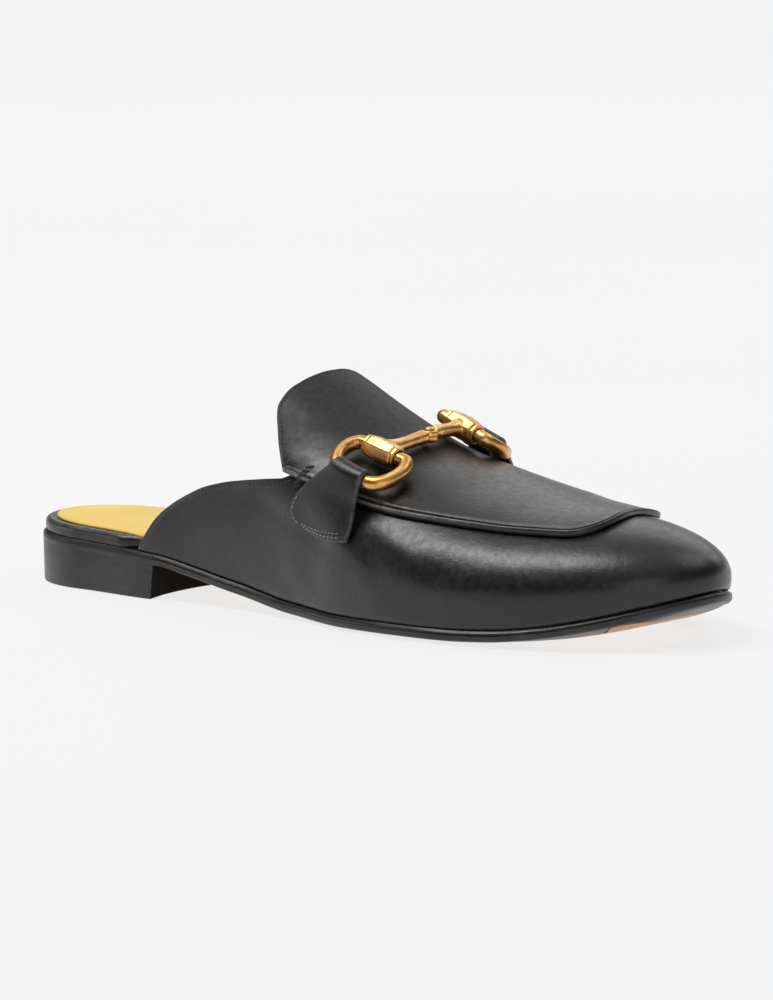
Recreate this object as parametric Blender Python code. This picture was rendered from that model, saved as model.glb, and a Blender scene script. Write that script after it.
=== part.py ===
"""Right shoe of a pair of backless bit loafers (mules) in black calf, men's EU size 42.

Lengths in the tables are millimetres. x runs from the back of the heel to the toe, y is positive
on the medial (inner) side and z is up, with the floor at 0. The finished pieces are moved so that
the middle of the sole lies over the origin.
"""

import math
from collections import namedtuple

import bmesh
import bpy
import numpy as np

MM = 0.001
LATERAL = -1
MEDIAL = 1

# Driving sizes of the sole and the upper
SHOE_LENGTH = 287.0
HEEL_LENGTH = 73.0
HEEL_ROUND = 33.0
HEEL_ROUNDNESS = 2.0
TOE_ROUND_START = 203.0
TOE_ROUNDNESS = 1.85
SOLE_THICKNESS = 3.0
BREAST_SLANT = 1.5
HEEL_ROLL = 1.5
HEEL_ROLL_LENGTH = 9.0
BREAST_HOLLOW = 6.0
BOARD_RIM = 1.2
SOCK_INSET = 3.6
SOCK_THICKNESS = 1.0
UPPER_INSET = 0.9
WALL = 1.8
CLEARANCE = 0.3
SEAM_GAP = 0.5

# Sole: distance from the back of the heel, half width, shift of the middle to the medial side,
# height of the underside along the middle, and how far its edges curl up from there
SoleRow = namedtuple("SoleRow", "x half_width middle underside camber")
SOLE = [
    SoleRow(0, 26.0, -0.2, 14.3, 0.0),
    SoleRow(33, 26.6, -0.6, 13.2, 0.0),
    SoleRow(73, 29.2, -1.8, 11.5, 0.0),
    SoleRow(90, 28.6, -2.6, 8.9, 0.0),
    SoleRow(110, 28.3, -3.9, 5.4, 0.1),
    SoleRow(140, 32.8, -4.5, 1.2, 0.6),
    SoleRow(168, 41.3, -3.4, 0.0, 1.0),
    SoleRow(190, 46.4, -1.4, 0.0, 1.2),
    SoleRow(214, 48.2, -0.4, 0.0, 1.3),
    SoleRow(230, 48.2, -0.8, 0.4, 1.5),
    SoleRow(246, 48.0, -1.8, 1.9, 1.8),
    SoleRow(262, 47.6, -2.6, 4.8, 2.0),
    SoleRow(274, 47.6, -3.0, 8.4, 1.5),
    SoleRow(287, 47.6, -3.0, 13.6, 0.0),
]
TREAD_FLAT = (168.0, 214.0)

# Footbed board: thickness, and how far its edge lies inside the edge of the sole
BoardRow = namedtuple("BoardRow", "x thickness inset")
BOARD = [
    BoardRow(0, 3.9, 0.9),
    BoardRow(56, 3.9, 0.9),
    BoardRow(61, 3.9, 3.7),
    BoardRow(110, 3.7, 3.7),
    BoardRow(150, 3.2, 3.4),
    BoardRow(287, 3.0, 3.4),
]

# Last: the widest points of the wall on both sides, the height of that level, the crest, and how
# square the arch over the foot is (2 is an ellipse)
LastRow = namedtuple("LastRow", "x lateral medial shoulder crest_y crest squareness")
LAST = [
    LastRow(64, 31.5, 29.5, 38, 0, 116, 2.0),
    LastRow(80, 31.5, 29.5, 38, 0, 108, 2.0),
    LastRow(100, 33.0, 30.5, 36, 0, 92, 2.0),
    LastRow(128, 36.5, 32.2, 32, 1, 74.5, 2.0),
    LastRow(150, 41.0, 33.6, 26, 1.5, 62.5, 2.0),
    LastRow(170, 45.5, 37.4, 21, 1.3, 53.2, 2.0),
    LastRow(190, 47.6, 43.8, 17, 0.8, 47.2, 2.0),
    LastRow(214, 47.8, 46.6, 15, -0.9, 41.9, 2.0),
    LastRow(227, 46.2, 43.8, 15, -2.0, 39.7, 2.0),
    LastRow(240, 43.2, 40.2, 15, -3.0, 38.5, 2.0),
]
POLE_X = 240.0
TOE_FAN = 45.0
TOE_SLOPE = -0.05
TOE_SHOULDER_RISE = 4.0
TOE_BULGE = 0.8
TOE_SQUARENESS = 2.2
WALL_SHARE = 0.3

# Topline of the quarters, from the sole up to the throat under the tongue
ToplineRow = namedtuple("ToplineRow", "x height")
TOPLINE = [
    ToplineRow(64, 15.5),
    ToplineRow(68, 20.5),
    ToplineRow(76, 28.5),
    ToplineRow(87, 35),
    ToplineRow(101, 40.3),
    ToplineRow(116, 43),
    ToplineRow(130, 43.8),
    ToplineRow(142, 47.5),
]
THROAT_X = 150.0
REAR_PATCH_END = 165.0

# Apron with the tongue: share of the girth from the sole (0) to the crest (1) where its edge runs
ApronRow = namedtuple("ApronRow", "x lateral_share medial_share")
APRON_EDGE = [
    ApronRow(118, 0.50, 0.50),
    ApronRow(140, 0.52, 0.52),
    ApronRow(165, 0.56, 0.56),
    ApronRow(190, 0.61, 0.61),
    ApronRow(214, 0.66, 0.66),
    ApronRow(240, 0.70, 0.70),
]
APRON_TOE_REACH = 14.0
APRON_CORNER = 3.0
APRON_THICKNESS = 1.5
# Rear edge of the tongue: x at each share of the girth
TongueRow = namedtuple("TongueRow", "share x")
TONGUE_END = [
    TongueRow(0.50, 137),
    TongueRow(0.60, 129.5),
    TongueRow(0.70, 124.2),
    TongueRow(0.75, 124.4),
    TongueRow(0.82, 125.8),
    TongueRow(0.90, 127),
    TongueRow(1.0, 127.6),
]

# Strap that holds the bit's ring: rows from its lower edge up, each from its rear to its front end,
# with the height of both ends and the gap under it. From the last row it wraps the ring.
TabRow = namedtuple("TabRow", "rear_x rear_z front_x front_z gap")
TAB = [
    TabRow(149.6, 31.8, 172.6, 28.2, 0.5),
    TabRow(145.8, 35.2, 173.6, 31.4, 0.5),
    TabRow(145.6, 39.0, 173.8, 34.4, 0.8),
    TabRow(147.6, 42.4, 173.6, 37.2, 2.4),
    TabRow(150.6, 44.8, 173.4, 39.4, 2.8),
]
TAB_THICKNESS = 1.3
TAB_SAG = 1.6
TAB_WRAP = (5.0, 258.0)
TAB_ON_RING = (-6.4, 6.2)

# Bit: the ring lies in a plane along p (toward the toe and down) and q (outward and down)
RING_TUBE = 2.1
RingPoint = namedtuple("RingPoint", "p q")
RING = [
    RingPoint(-9.5, 3.2),
    RingPoint(-7.3, 6.8),
    RingPoint(-3.0, 8.2),
    RingPoint(5.6, 8.2),
    RingPoint(10.2, 6.6),
    RingPoint(13.0, 2.6),
    RingPoint(14.2, -2.4),
    RingPoint(12.6, -6.4),
    RingPoint(9.4, -6.6),
    RingPoint(-4.6, -6.2),
    RingPoint(-8.0, -4.6),
    RingPoint(-9.8, -0.8),
]
BARREL = 3.0
BORE_CLEARANCE = 0.5
BARREL_LENGTH = 13.2
SHAFT_WAIST = 1.7
SHAFT_END = 2.4
# One half of the bit on each side: centre of the ring, tilt and slope of its plane in degrees, inner
# end of the shaft, and how much lower its strap reaches the ring
BitHalf = namedtuple("BitHalf", "side ring tilt slope shaft_end strap_drop")
BIT = [
    BitHalf(LATERAL, (168.7, -30.8, 52.9), 29.0, 17.7, (171.4, -5.0, 58.0), 0.0),
    BitHalf(MEDIAL, (168.7, 19.5, 56.75), 28.0, 20.5, (171.4, -1.2, 58.9), 0.0),
]
# Joint of the two halves: a rivet on the lateral one stands up through the medial one's eye
RIVET = (171.55, -3.2)
RIVET_RADIUS = 1.2
RIVET_HEAD = 1.7
JOINT_DROP = 2.2
FOOT_HEIGHT = 1.9
FOOT_RADIUS = 2.7
EYE_HEIGHT = 1.8
EYE_RADIUS = 2.8


# ---------------------------------------------------------------- curves and outlines


def column(table, name):
    """Smooth curve through one column of a table, with no overshoot between its rows."""
    keys = np.array([row[0] for row in table], float)
    values = np.array([getattr(row, name) for row in table], float)
    steps = np.diff(keys)
    slopes = np.diff(values) / steps
    tangents = np.zeros(len(keys))
    tangents[0], tangents[-1] = slopes[0], slopes[-1]
    for i in range(1, len(keys) - 1):
        if slopes[i - 1] * slopes[i] > 0:
            before, after = 2 * steps[i] + steps[i - 1], steps[i] + 2 * steps[i - 1]
            tangents[i] = (before + after) / (before / slopes[i - 1] + after / slopes[i])

    def value(at):
        at = min(max(at, keys[0]), keys[-1])
        i = min(int(np.searchsorted(keys, at, side="right")) - 1, len(keys) - 2)
        t = (at - keys[i]) / steps[i]
        return (
            values[i] * (1 + 2 * t) * (1 - t) ** 2
            + tangents[i] * steps[i] * t * (1 - t) ** 2
            + values[i + 1] * t * t * (3 - 2 * t)
            + tangents[i + 1] * steps[i] * t * t * (t - 1)
        )

    return value


sole_half_width = column(SOLE, "half_width")
sole_middle = column(SOLE, "middle")
sole_middle_underside = column(SOLE, "underside")
sole_camber = column(SOLE, "camber")
board_thickness = column(BOARD, "thickness")
board_inset = column(BOARD, "inset")
last_lateral = column(LAST, "lateral")
last_medial = column(LAST, "medial")
last_shoulder = column(LAST, "shoulder")
last_crest_y = column(LAST, "crest_y")
last_crest = column(LAST, "crest")
last_squareness = column(LAST, "squareness")


def round_end(t, roundness):
    """Share of the full width left at a share t of the way into a rounded end."""
    return max(0.0, 1 - min(1.0, max(0.0, t)) ** roundness) ** (1 / roundness)


def sole_edge(x, side, inset=0.0):
    """y of the sole's outline, drawn in by an inset that shortens the ends as well."""
    length = SHOE_LENGTH - 2 * inset
    run = (x - inset) / length * SHOE_LENGTH
    share = round_end((HEEL_ROUND - run) / HEEL_ROUND, HEEL_ROUNDNESS)
    share *= round_end((run - TOE_ROUND_START) / (SHOE_LENGTH - TOE_ROUND_START), TOE_ROUNDNESS)
    return sole_middle(x) + side * (sole_half_width(run) - inset) * share


def sole_underside(x, y):
    """Height of the sole's underside, flat across the middle half and curled up to the edges."""
    reach = max(1.0, sole_edge(x, MEDIAL) - sole_middle(x))
    off_middle = min(1.0, abs(y - sole_middle(x)) / reach)
    return sole_middle_underside(x) + sole_camber(x) * max(0.0, 2 * off_middle - 1) ** 2


def sole_top(x, y):
    return sole_underside(x, y) + SOLE_THICKNESS


def feather_edge(x, side):
    """Where the outside of the upper meets the sole."""
    return sole_edge(x, side, UPPER_INSET)


# ---------------------------------------------------------------- the last


def toe_radius(angle, side):
    """Distance in plan from the pole to the feather edge, at an angle from the toe's axis."""
    low, high = 0.0, 60.0
    for _ in range(40):
        radius = (low + high) / 2
        x = POLE_X + radius * math.cos(angle)
        y = last_crest_y(POLE_X) + side * radius * math.sin(angle)
        past_end = x > SHOE_LENGTH - UPPER_INSET
        outside = past_end or side * (y - feather_edge(x, side)) > 0
        low, high = (low, radius) if outside else (radius, high)
    return (low + high) / 2


def rib(s, side):
    """One rib of the last. Up to POLE_X s is x and the rib is a cross section; beyond it the ribs
    fan out round the toe. Returns the plan start and direction, feather radius and height,
    wall radius and height, crest height, slope along the rib and squareness."""
    if s <= POLE_X:
        centre = (s, last_crest_y(s))
        feather = abs(feather_edge(s, side) - centre[1])
        wall = (last_lateral(s) if side == LATERAL else last_medial(s)) + side * -centre[1]
        base = sole_top(s, feather_edge(s, side)) + SEAM_GAP
        shape = last_shoulder(s), last_crest(s), 0.0, last_squareness(s)
        return centre, (0.0, side), feather, base, wall, *shape
    angle = math.pi / 2 * (1 - (s - POLE_X) / TOE_FAN)
    centre = (POLE_X, last_crest_y(POLE_X))
    direction = (math.cos(angle), side * math.sin(angle))
    feather = toe_radius(angle, side)
    _, _, pole_feather, pole_base, pole_wall, pole_shoulder, crest, _, pole_square = rib(POLE_X, side)
    to_toe = math.cos(angle) ** 2
    rim = POLE_X + feather * math.cos(angle)
    base = sole_top(rim, feather_edge(rim, side)) + SEAM_GAP
    bulge = (pole_wall - pole_feather) * (1 - to_toe) + TOE_BULGE * to_toe
    rise = (pole_shoulder - pole_base) * (1 - to_toe) + TOE_SHOULDER_RISE * to_toe
    square = pole_square * (1 - to_toe) + TOE_SQUARENESS * to_toe
    slope = TOE_SLOPE * math.cos(angle)
    return centre, direction, feather, base, feather + bulge, base + rise, crest, slope, square


def last_point(s, share, side):
    """Point of the last's surface at a share of the girth, 0 at the sole and 1 at the crest."""
    centre, direction, feather, base, wall, shoulder, crest, slope, square = rib(s, side)
    if share < WALL_SHARE:
        rise = share / WALL_SHARE
        radius = wall - (wall - feather) * (1 - rise) ** 2
        height = base + (shoulder - base) * rise
    else:
        angle = math.pi / 2 * (share - WALL_SHARE) / (1 - WALL_SHARE)
        c, s_ = math.cos(angle), math.sin(angle)
        size = (abs(c) ** square + abs(s_) ** square) ** (-1 / square)
        radius = wall * max(0.0, c * size)
        top = crest + slope * radius
        height = top - (crest + slope * wall - shoulder) * (1 - s_ * size)
    return np.array([centre[0] + direction[0] * radius, centre[1] + direction[1] * radius, height])


def last_normal(s, share, side):
    """Unit normal of the last, pointing out of the shoe."""
    step = 0.02
    if share > 0.995:
        if s >= POLE_X:
            across = np.array([0.0, side, 0.0])
            along = np.array([1.0, 0.0, TOE_SLOPE])
        else:
            across = np.array([0.0, side, 0.0])
            along = last_point(s + 0.5, 1.0, side) - last_point(s - 0.5, 1.0, side)
    else:
        low, high = max(0.0, share - step), min(1.0, share + step)
        across = last_point(s, low, side) - last_point(s, high, side)
        last_s = POLE_X + TOE_FAN
        if s + 0.5 > last_s:
            mirrored = last_point(2 * last_s - s - 0.5, share, -side)
            along = mirrored - last_point(s - 0.5, share, side)
        else:
            along = last_point(s + 0.5, share, side) - last_point(s - 0.5, share, side)
    normal = np.cross(along, across) * side
    return normal / np.linalg.norm(normal)


def last_offset(s, share, side, distance):
    return last_point(s, share, side) + distance * last_normal(s, share, side)


def share_at_height(s, height, side):
    low, high = 0.0, 1.0
    for _ in range(30):
        middle = (low + high) / 2
        low, high = (middle, high) if last_point(s, middle, side)[2] < height else (low, middle)
    return (low + high) / 2


def share_at_radius(s, radius, side):
    centre = rib(s, side)[0]
    low, high = WALL_SHARE, 1.0
    for _ in range(30):
        middle = (low + high) / 2
        point = last_point(s, middle, side)
        wide = math.hypot(point[0] - centre[0], point[1] - centre[1]) > radius
        low, high = (middle, high) if wide else (low, middle)
    return (low + high) / 2


def even_spacing(pairs, side, count):
    """Resamples a line of (s, share) pairs on the last to equal steps of its real length."""
    pairs = np.array(pairs, float)
    points = np.array([last_point(s, share, side) for s, share in pairs])
    run = np.concatenate([[0.0], np.cumsum(np.linalg.norm(np.diff(points, axis=0), axis=1))])
    at = np.linspace(0, run[-1], count)
    return [(np.interp(d, run, pairs[:, 0]), np.interp(d, run, pairs[:, 1])) for d in at]


# ---------------------------------------------------------------- mesh builders


def material(name, colour, roughness, metallic=0.0):
    made = bpy.data.materials.new(name)
    made.use_nodes = True
    shader = made.node_tree.nodes["Principled BSDF"]
    shader.inputs["Base Color"].default_value = (*colour, 1.0)
    shader.inputs["Roughness"].default_value = roughness
    shader.inputs["Metallic"].default_value = metallic
    return made


def make_object(name, quads, finish, smooth=True):
    """Object from a list of faces given as point tuples; points that coincide are welded."""
    mesh = bpy.data.meshes.new(name)
    shape = bmesh.new()
    for face in quads:
        shape.faces.new([shape.verts.new(np.asarray(point, float) * MM) for point in face])
    bmesh.ops.remove_doubles(shape, verts=shape.verts, dist=0.005 * MM)
    bmesh.ops.dissolve_degenerate(shape, edges=shape.edges, dist=0.001 * MM)
    bmesh.ops.recalc_face_normals(shape, faces=shape.faces)
    shape.to_mesh(mesh)
    shape.free()
    mesh.materials.append(finish)
    if smooth:
        mesh.shade_smooth()
        mesh.set_sharp_from_angle(angle=math.radians(40))
    made = bpy.data.objects.new(name, mesh)
    bpy.context.scene.collection.objects.link(made)
    return made


def grid_faces(rows, flip=False):
    faces = []
    for upper, lower in zip(rows, rows[1:]):
        for i in range(len(upper) - 1):
            face = (upper[i], upper[i + 1], lower[i + 1], lower[i])
            faces.append(face[::-1] if flip else face)
    return faces


def slab(name, stations, edge, top, bottom, finish, rim=0.0, across=8, bend=None):
    """Closed plate between two heights. edge(x, side) is its outline, top and bottom its heights,
    rim rounds the top edge by a chamfer, and bend(x, y, z) may move a point along x."""
    levels = [bottom, top]
    if rim:
        levels = [bottom, lambda x, y: top(x, y) - rim, lambda x, y: top(x, y) - 0.3 * rim, top]
    insets = [0.0, 0.0, 0.3 * rim, rim] if rim else [0.0, 0.0]
    layers = []
    for level, inset in zip(levels, insets):
        rows = []
        for x in stations:
            lateral, medial = edge(x, LATERAL), edge(x, MEDIAL)
            drawn_in = min(inset, (medial - lateral) / 2)
            lateral, medial = lateral + drawn_in, medial - drawn_in
            row = []
            for i in range(across + 1):
                y = lateral + (medial - lateral) * i / across
                z = level(x, y)
                row.append((bend(x, y, z) if bend else x, y, z))
            rows.append(row)
        layers.append(rows)
    faces = grid_faces(layers[-1]) + grid_faces(layers[0], flip=True)
    for above, below in zip(layers[1:], layers):
        for i in (0, -1):
            faces += grid_faces([[row[i] for row in above], [row[i] for row in below]])
        faces += grid_faces([above[0], below[0]]) + grid_faces([above[-1], below[-1]])
    return make_object(name, faces, finish)


def rounded_stations(start, end, count, both=True):
    """x of cross rows, closer together at a rounded start and, with both, at a rounded end."""
    span = end - start
    if both:
        return [start + span * (1 - math.cos(math.pi * i / count)) / 2 for i in range(count + 1)]
    return [start + span * (1 - math.cos(math.pi / 2 * i / count)) for i in range(count + 1)]


def thick_patch(name, halves, inside, outside, finish):
    """Closed skin on the last. halves holds, for each side, rows of (s, share) from the rear edge
    to the toe, each row running from the free edge up to the crest."""
    faces = []
    for side, rows in halves.items():
        outer = [[last_offset(s, share, side, outside) for s, share in row] for row in rows]
        inner = [[last_offset(s, share, side, inside) for s, share in row] for row in rows]
        faces += grid_faces(outer) + grid_faces(inner, flip=True)
        faces += grid_faces([[row[0] for row in outer], [row[0] for row in inner]])
        faces += grid_faces([outer[0], inner[0]])
    return make_object(name, faces, finish)


def unit(vector):
    return np.array(vector, float) / np.linalg.norm(vector)


def tube_faces(centres, radii, start_axis, sides=8, closed=False):
    """Round tube along a line of points, capped at both ends unless it closes on itself."""
    centres = [np.array(c, float) for c in centres]
    count = len(centres)
    across = np.array(start_axis, float)
    rings = []
    for i, centre in enumerate(centres):
        before = centres[i - 1] if i or closed else centre
        after = centres[(i + 1) % count] if i < count - 1 or closed else centre
        along = unit(after - before)
        across = unit(across - along * (across @ along))
        third = np.cross(along, across)
        turns = [2 * math.pi * k / sides for k in range(sides)]
        rings.append(
            [centre + radii[i] * (math.cos(a) * across + math.sin(a) * third) for a in turns]
        )
    loops = [ring + ring[:1] for ring in rings]
    if closed:
        return grid_faces(loops + loops[:1])
    return grid_faces(loops) + [tuple(rings[0]), tuple(rings[-1])]


def smooth_loop(points, per_span):
    """Closed smooth curve through a list of points."""
    points = [np.array(point, float) for point in points]
    count = len(points)
    line = []
    for i in range(count):
        a, b, c, d = (points[(i + k) % count] for k in (-1, 0, 1, 2))
        for j in range(per_span):
            t = j / per_span
            line.append(
                0.5 * (2 * b + (c - a) * t + (2 * a - 5 * b + 4 * c - d) * t**2
                       + (3 * b - a - 3 * c + d) * t**3)
            )
    return line


def combined(base, others, operation):
    """The base object with others added to it or cut from it; the others are used up."""
    for other in others:
        step = base.modifiers.new(operation.lower(), "BOOLEAN")
        step.operation = operation
        step.solver = "EXACT"
        step.object = other
    graph = bpy.context.evaluated_depsgraph_get()
    mesh = bpy.data.meshes.new_from_object(base.evaluated_get(graph))
    base.modifiers.clear()
    base.data = mesh
    for other in others:
        bpy.data.objects.remove(other, do_unlink=True)
    return base


# ---------------------------------------------------------------- leather pieces


def outsole(finish):
    stations = sorted(
        set(rounded_stations(0, SHOE_LENGTH, 34)) | set(TREAD_FLAT) | {HEEL_LENGTH}
    )
    return slab("outsole", stations, sole_edge, sole_top, sole_underside, finish)


def heel(finish):
    stations = rounded_stations(0, HEEL_LENGTH, 14, both=False)

    def hollow(x, y):
        share = (y - sole_middle(x)) / sole_half_width(HEEL_LENGTH)
        return x - BREAST_HOLLOW * max(0.0, 1 - share * share) * (x / HEEL_LENGTH) ** 4

    def slanted(x, y, z):
        lean = BREAST_SLANT * (x / HEEL_LENGTH) ** 4
        return hollow(x, y) - lean * (1 - z / sole_middle_underside(HEEL_LENGTH))

    return slab(
        "heel",
        stations,
        sole_edge,
        lambda x, y: sole_underside(x, y) - CLEARANCE,
        lambda x, y: HEEL_ROLL * max(0.0, 1 - x / HEEL_ROLL_LENGTH) ** 2,
        finish,
        bend=slanted,
    )


def board_edge(x, side):
    return sole_edge(x, side, board_inset(x))


def board_underside(x, y):
    return sole_top(x, y) + SEAM_GAP


def board_top(x, y):
    return board_underside(x, y) + board_thickness(x)


def insole_board(finish):
    ends = BOARD[0].inset, SHOE_LENGTH - BOARD[-1].inset
    stations = rounded_stations(*ends, 34)
    return slab(
        "insole_board", stations, board_edge, board_top, board_underside, finish, rim=BOARD_RIM
    )


def sock_lining(finish):
    inset = BOARD[0].inset + SOCK_INSET

    def underside(x, y):
        return board_top(x, y) + SEAM_GAP

    return slab(
        "sock_lining",
        rounded_stations(inset, SHOE_LENGTH - inset, 30),
        lambda x, side: sole_edge(x, side, inset),
        lambda x, y: underside(x, y) + SOCK_THICKNESS,
        underside,
        finish,
    )


def fan_rows(columns_of, sections, fan):
    """Rows of (s, share) over the forepart: cross sections up to the pole, then the toe's fan."""
    rows = [columns_of(s) for s in np.linspace(*sections)]
    rows += [columns_of(POLE_X + TOE_FAN * i / fan) for i in range(1, fan + 1)]
    return rows


def section_row(s, start, side, count):
    shares = np.linspace(start, 1.0, 25)
    return even_spacing([(s, share) for share in shares], side, count)


def blended_rows(rear, front, count):
    """Rows that turn step by step from the rear edge's line into a cross section."""
    rows = []
    for i in range(count):
        w = i / count
        pairs = zip(rear, front)
        rows.append([(a[0] * (1 - w) + b[0] * w, a[1] * (1 - w) + b[1] * w) for a, b in pairs])
    return rows


def upper(finish):
    halves = {}
    for side in (LATERAL, MEDIAL):
        start = TOPLINE[0].x
        line = [(start, 0.0)]
        height_at = column(TOPLINE, "height")
        for x in np.linspace(TOPLINE[0].x, TOPLINE[-1].x, 40)[1:]:
            line.append((x, share_at_height(x, height_at(x), side)))
        line.append((THROAT_X, 1.0))
        topline = even_spacing(line, side, 13)
        front = section_row(REAR_PATCH_END, 0.0, side, 13)
        rows = blended_rows(topline, front, 7)
        rows += fan_rows(lambda s: section_row(s, 0.0, side, 13), (REAR_PATCH_END, POLE_X, 7), 9)
        halves[side] = rows
    return thick_patch("upper", halves, -WALL, 0.0, finish)


def apron_share(s, side):
    """Share of the girth where the apron's edge runs."""
    name = "lateral_share" if side == LATERAL else "medial_share"
    edge = column(APRON_EDGE, name)
    if s <= POLE_X:
        return edge(s)
    centre = rib(POLE_X, side)[0]
    point = last_point(POLE_X, edge(POLE_X), side)
    half = abs(point[1] - centre[1])
    angle = math.pi / 2 * (1 - (s - POLE_X) / TOE_FAN)
    c, s_ = math.cos(angle) / APRON_TOE_REACH, math.sin(angle) / half
    radius = (abs(c) ** APRON_CORNER + abs(s_) ** APRON_CORNER) ** (-1 / APRON_CORNER)
    return share_at_radius(s, radius, side)


def apron_tongue(finish):
    rear_x = column(TONGUE_END, "x")
    halves = {}
    for side in (LATERAL, MEDIAL):
        start = TONGUE_END[0].share
        line = [(rear_x(share), share) for share in np.linspace(start, 1.0, 30)]
        rear = even_spacing(line, side, 9)
        front = section_row(REAR_PATCH_END, apron_share(REAR_PATCH_END, side), side, 9)
        rows = blended_rows(rear, front, 7)
        rows += fan_rows(
            lambda s: section_row(s, apron_share(s, side), side, 9), (REAR_PATCH_END, POLE_X, 7), 9
        )
        halves[side] = rows
    return thick_patch("apron_tongue", halves, SEAM_GAP, SEAM_GAP + APRON_THICKNESS, finish)


# ---------------------------------------------------------------- bit and its straps


def ring_axes(half):
    tilt, slope = math.radians(half.tilt), math.radians(half.slope)
    p = np.array([math.cos(slope), 0.0, -math.sin(slope)])
    q = np.array([0.0, half.side * math.cos(tilt), -math.sin(tilt)])
    return p, q


def on_ring(half, p_at, q_at):
    p, q = ring_axes(half)
    return np.array(half.ring) + p * p_at + q * q_at


RING_LINE = smooth_loop(RING, 3)


def outer_side(p_at):
    """q of the ring's outer side, which the strap holds."""
    outside = sorted((p, q) for p, q in RING_LINE if q > 0)
    return np.interp(p_at, [p for p, _ in outside], [q for _, q in outside])


def bit_ring(name, half, finish):
    line = [on_ring(half, p, q) for p, q in RING_LINE]
    return make_object(
        name, tube_faces(line, [RING_TUBE] * len(line), (0, 0, 1), closed=True), finish
    )


def barrel_frame(half):
    """Middle and direction of the ring's straight inner side, which carries the barrel."""
    front = on_ring(half, RING[8].p, RING[8].q)
    rear = on_ring(half, RING[9].p, RING[9].q)
    return (front + rear) / 2, unit(front - rear)


def bit_arm(name, half, finish):
    """Barrel with the shaft that runs from it to the middle of the bit, and the bore to cut last."""
    middle, along = barrel_frame(half)
    end = np.array(half.shaft_end)
    # shares of the barrel's length, and of its radius there
    steps = [-0.5, -0.45, -0.25, 0.0, 0.25, 0.45, 0.5]
    swell = [0.86, 0.97, 1.0, 1.02, 1.0, 0.97, 0.86]
    barrel = make_object(
        name,
        tube_faces(
            [middle + along * BARREL_LENGTH * k for k in steps],
            [BARREL * k for k in swell],
            (0, 0, 1),
            sides=16,
        ),
        finish,
    )
    # shares of the way from the barrel to the joint, and the shaft's radius there
    shares = [0.02, 0.1, 0.22, 0.4, 0.62, 0.8, 0.93, 1.0]
    radii = [2.9, 2.6, 2.0, SHAFT_WAIST, SHAFT_WAIST, 1.9, SHAFT_END, SHAFT_WAIST]
    shaft = make_object(
        name + "_shaft",
        tube_faces([middle + (end - middle) * k for k in shares], radii, (0, 0, 1), sides=10),
        finish,
    )
    bore = make_object(
        name + "_bore",
        tube_faces(
            [middle - along * BARREL_LENGTH, middle + along * BARREL_LENGTH],
            [RING_TUBE + BORE_CLEARANCE] * 2,
            (0, 0, 1),
            sides=12,
        ),
        finish,
    )
    return combined(barrel, [shaft], "UNION"), bore


def upright(name, centre, levels, finish, sides=12):
    """Round piece standing on a plan point, from (height, radius) pairs."""
    points = [(centre[0], centre[1], height) for height, _ in levels]
    return make_object(
        name, tube_faces(points, [radius for _, radius in levels], (1, 0, 0), sides), finish
    )


def bit_bars(finish):
    """Both halves of the bit; the rivet of the lateral one stands through the medial one's eye."""
    lateral, bore = bit_arm("bit_bar_lateral", BIT[0], finish)
    low = BIT[0].shaft_end[2] - JOINT_DROP
    middle = low + FOOT_HEIGHT
    floor = middle + CLEARANCE
    high = floor + EYE_HEIGHT
    top = high + CLEARANCE
    bevel = 0.4
    foot = upright(
        "foot",
        RIVET,
        [(low, FOOT_RADIUS - 2 * bevel), (low + bevel, FOOT_RADIUS), (middle + bevel, FOOT_RADIUS)],
        finish,
    )
    rivet = upright(
        "rivet",
        RIVET,
        [(low + FOOT_HEIGHT / 2, RIVET_RADIUS), (top, RIVET_RADIUS), (top, RIVET_HEAD),
         (top + bevel, RIVET_HEAD), (top + 2 * bevel, RIVET_RADIUS)],
        finish,
    )
    combined(lateral, [foot], "UNION")
    above = [(middle, EYE_RADIUS + CLEARANCE), (high + EYE_HEIGHT, EYE_RADIUS + CLEARANCE)]
    combined(lateral, [upright("room", RIVET, above, finish)], "DIFFERENCE")
    combined(lateral, [rivet], "UNION")
    combined(lateral, [bore], "DIFFERENCE")
    medial, bore = bit_arm("bit_bar_medial", BIT[1], finish)
    eye = upright(
        "eye",
        RIVET,
        [(floor - bevel, EYE_RADIUS), (high - bevel, EYE_RADIUS),
         (high, EYE_RADIUS - bevel)],
        finish,
    )
    combined(medial, [eye], "UNION")
    through = [(low, RIVET_RADIUS + CLEARANCE), (high + EYE_HEIGHT, RIVET_RADIUS + CLEARANCE)]
    under = [(low - FOOT_HEIGHT, FOOT_RADIUS + CLEARANCE), (floor, FOOT_RADIUS + CLEARANCE)]
    cuts = [upright("hole", RIVET, through, finish), upright("socket", RIVET, under, finish)]
    return lateral, combined(medial, [*cuts, bore], "DIFFERENCE")


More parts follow.
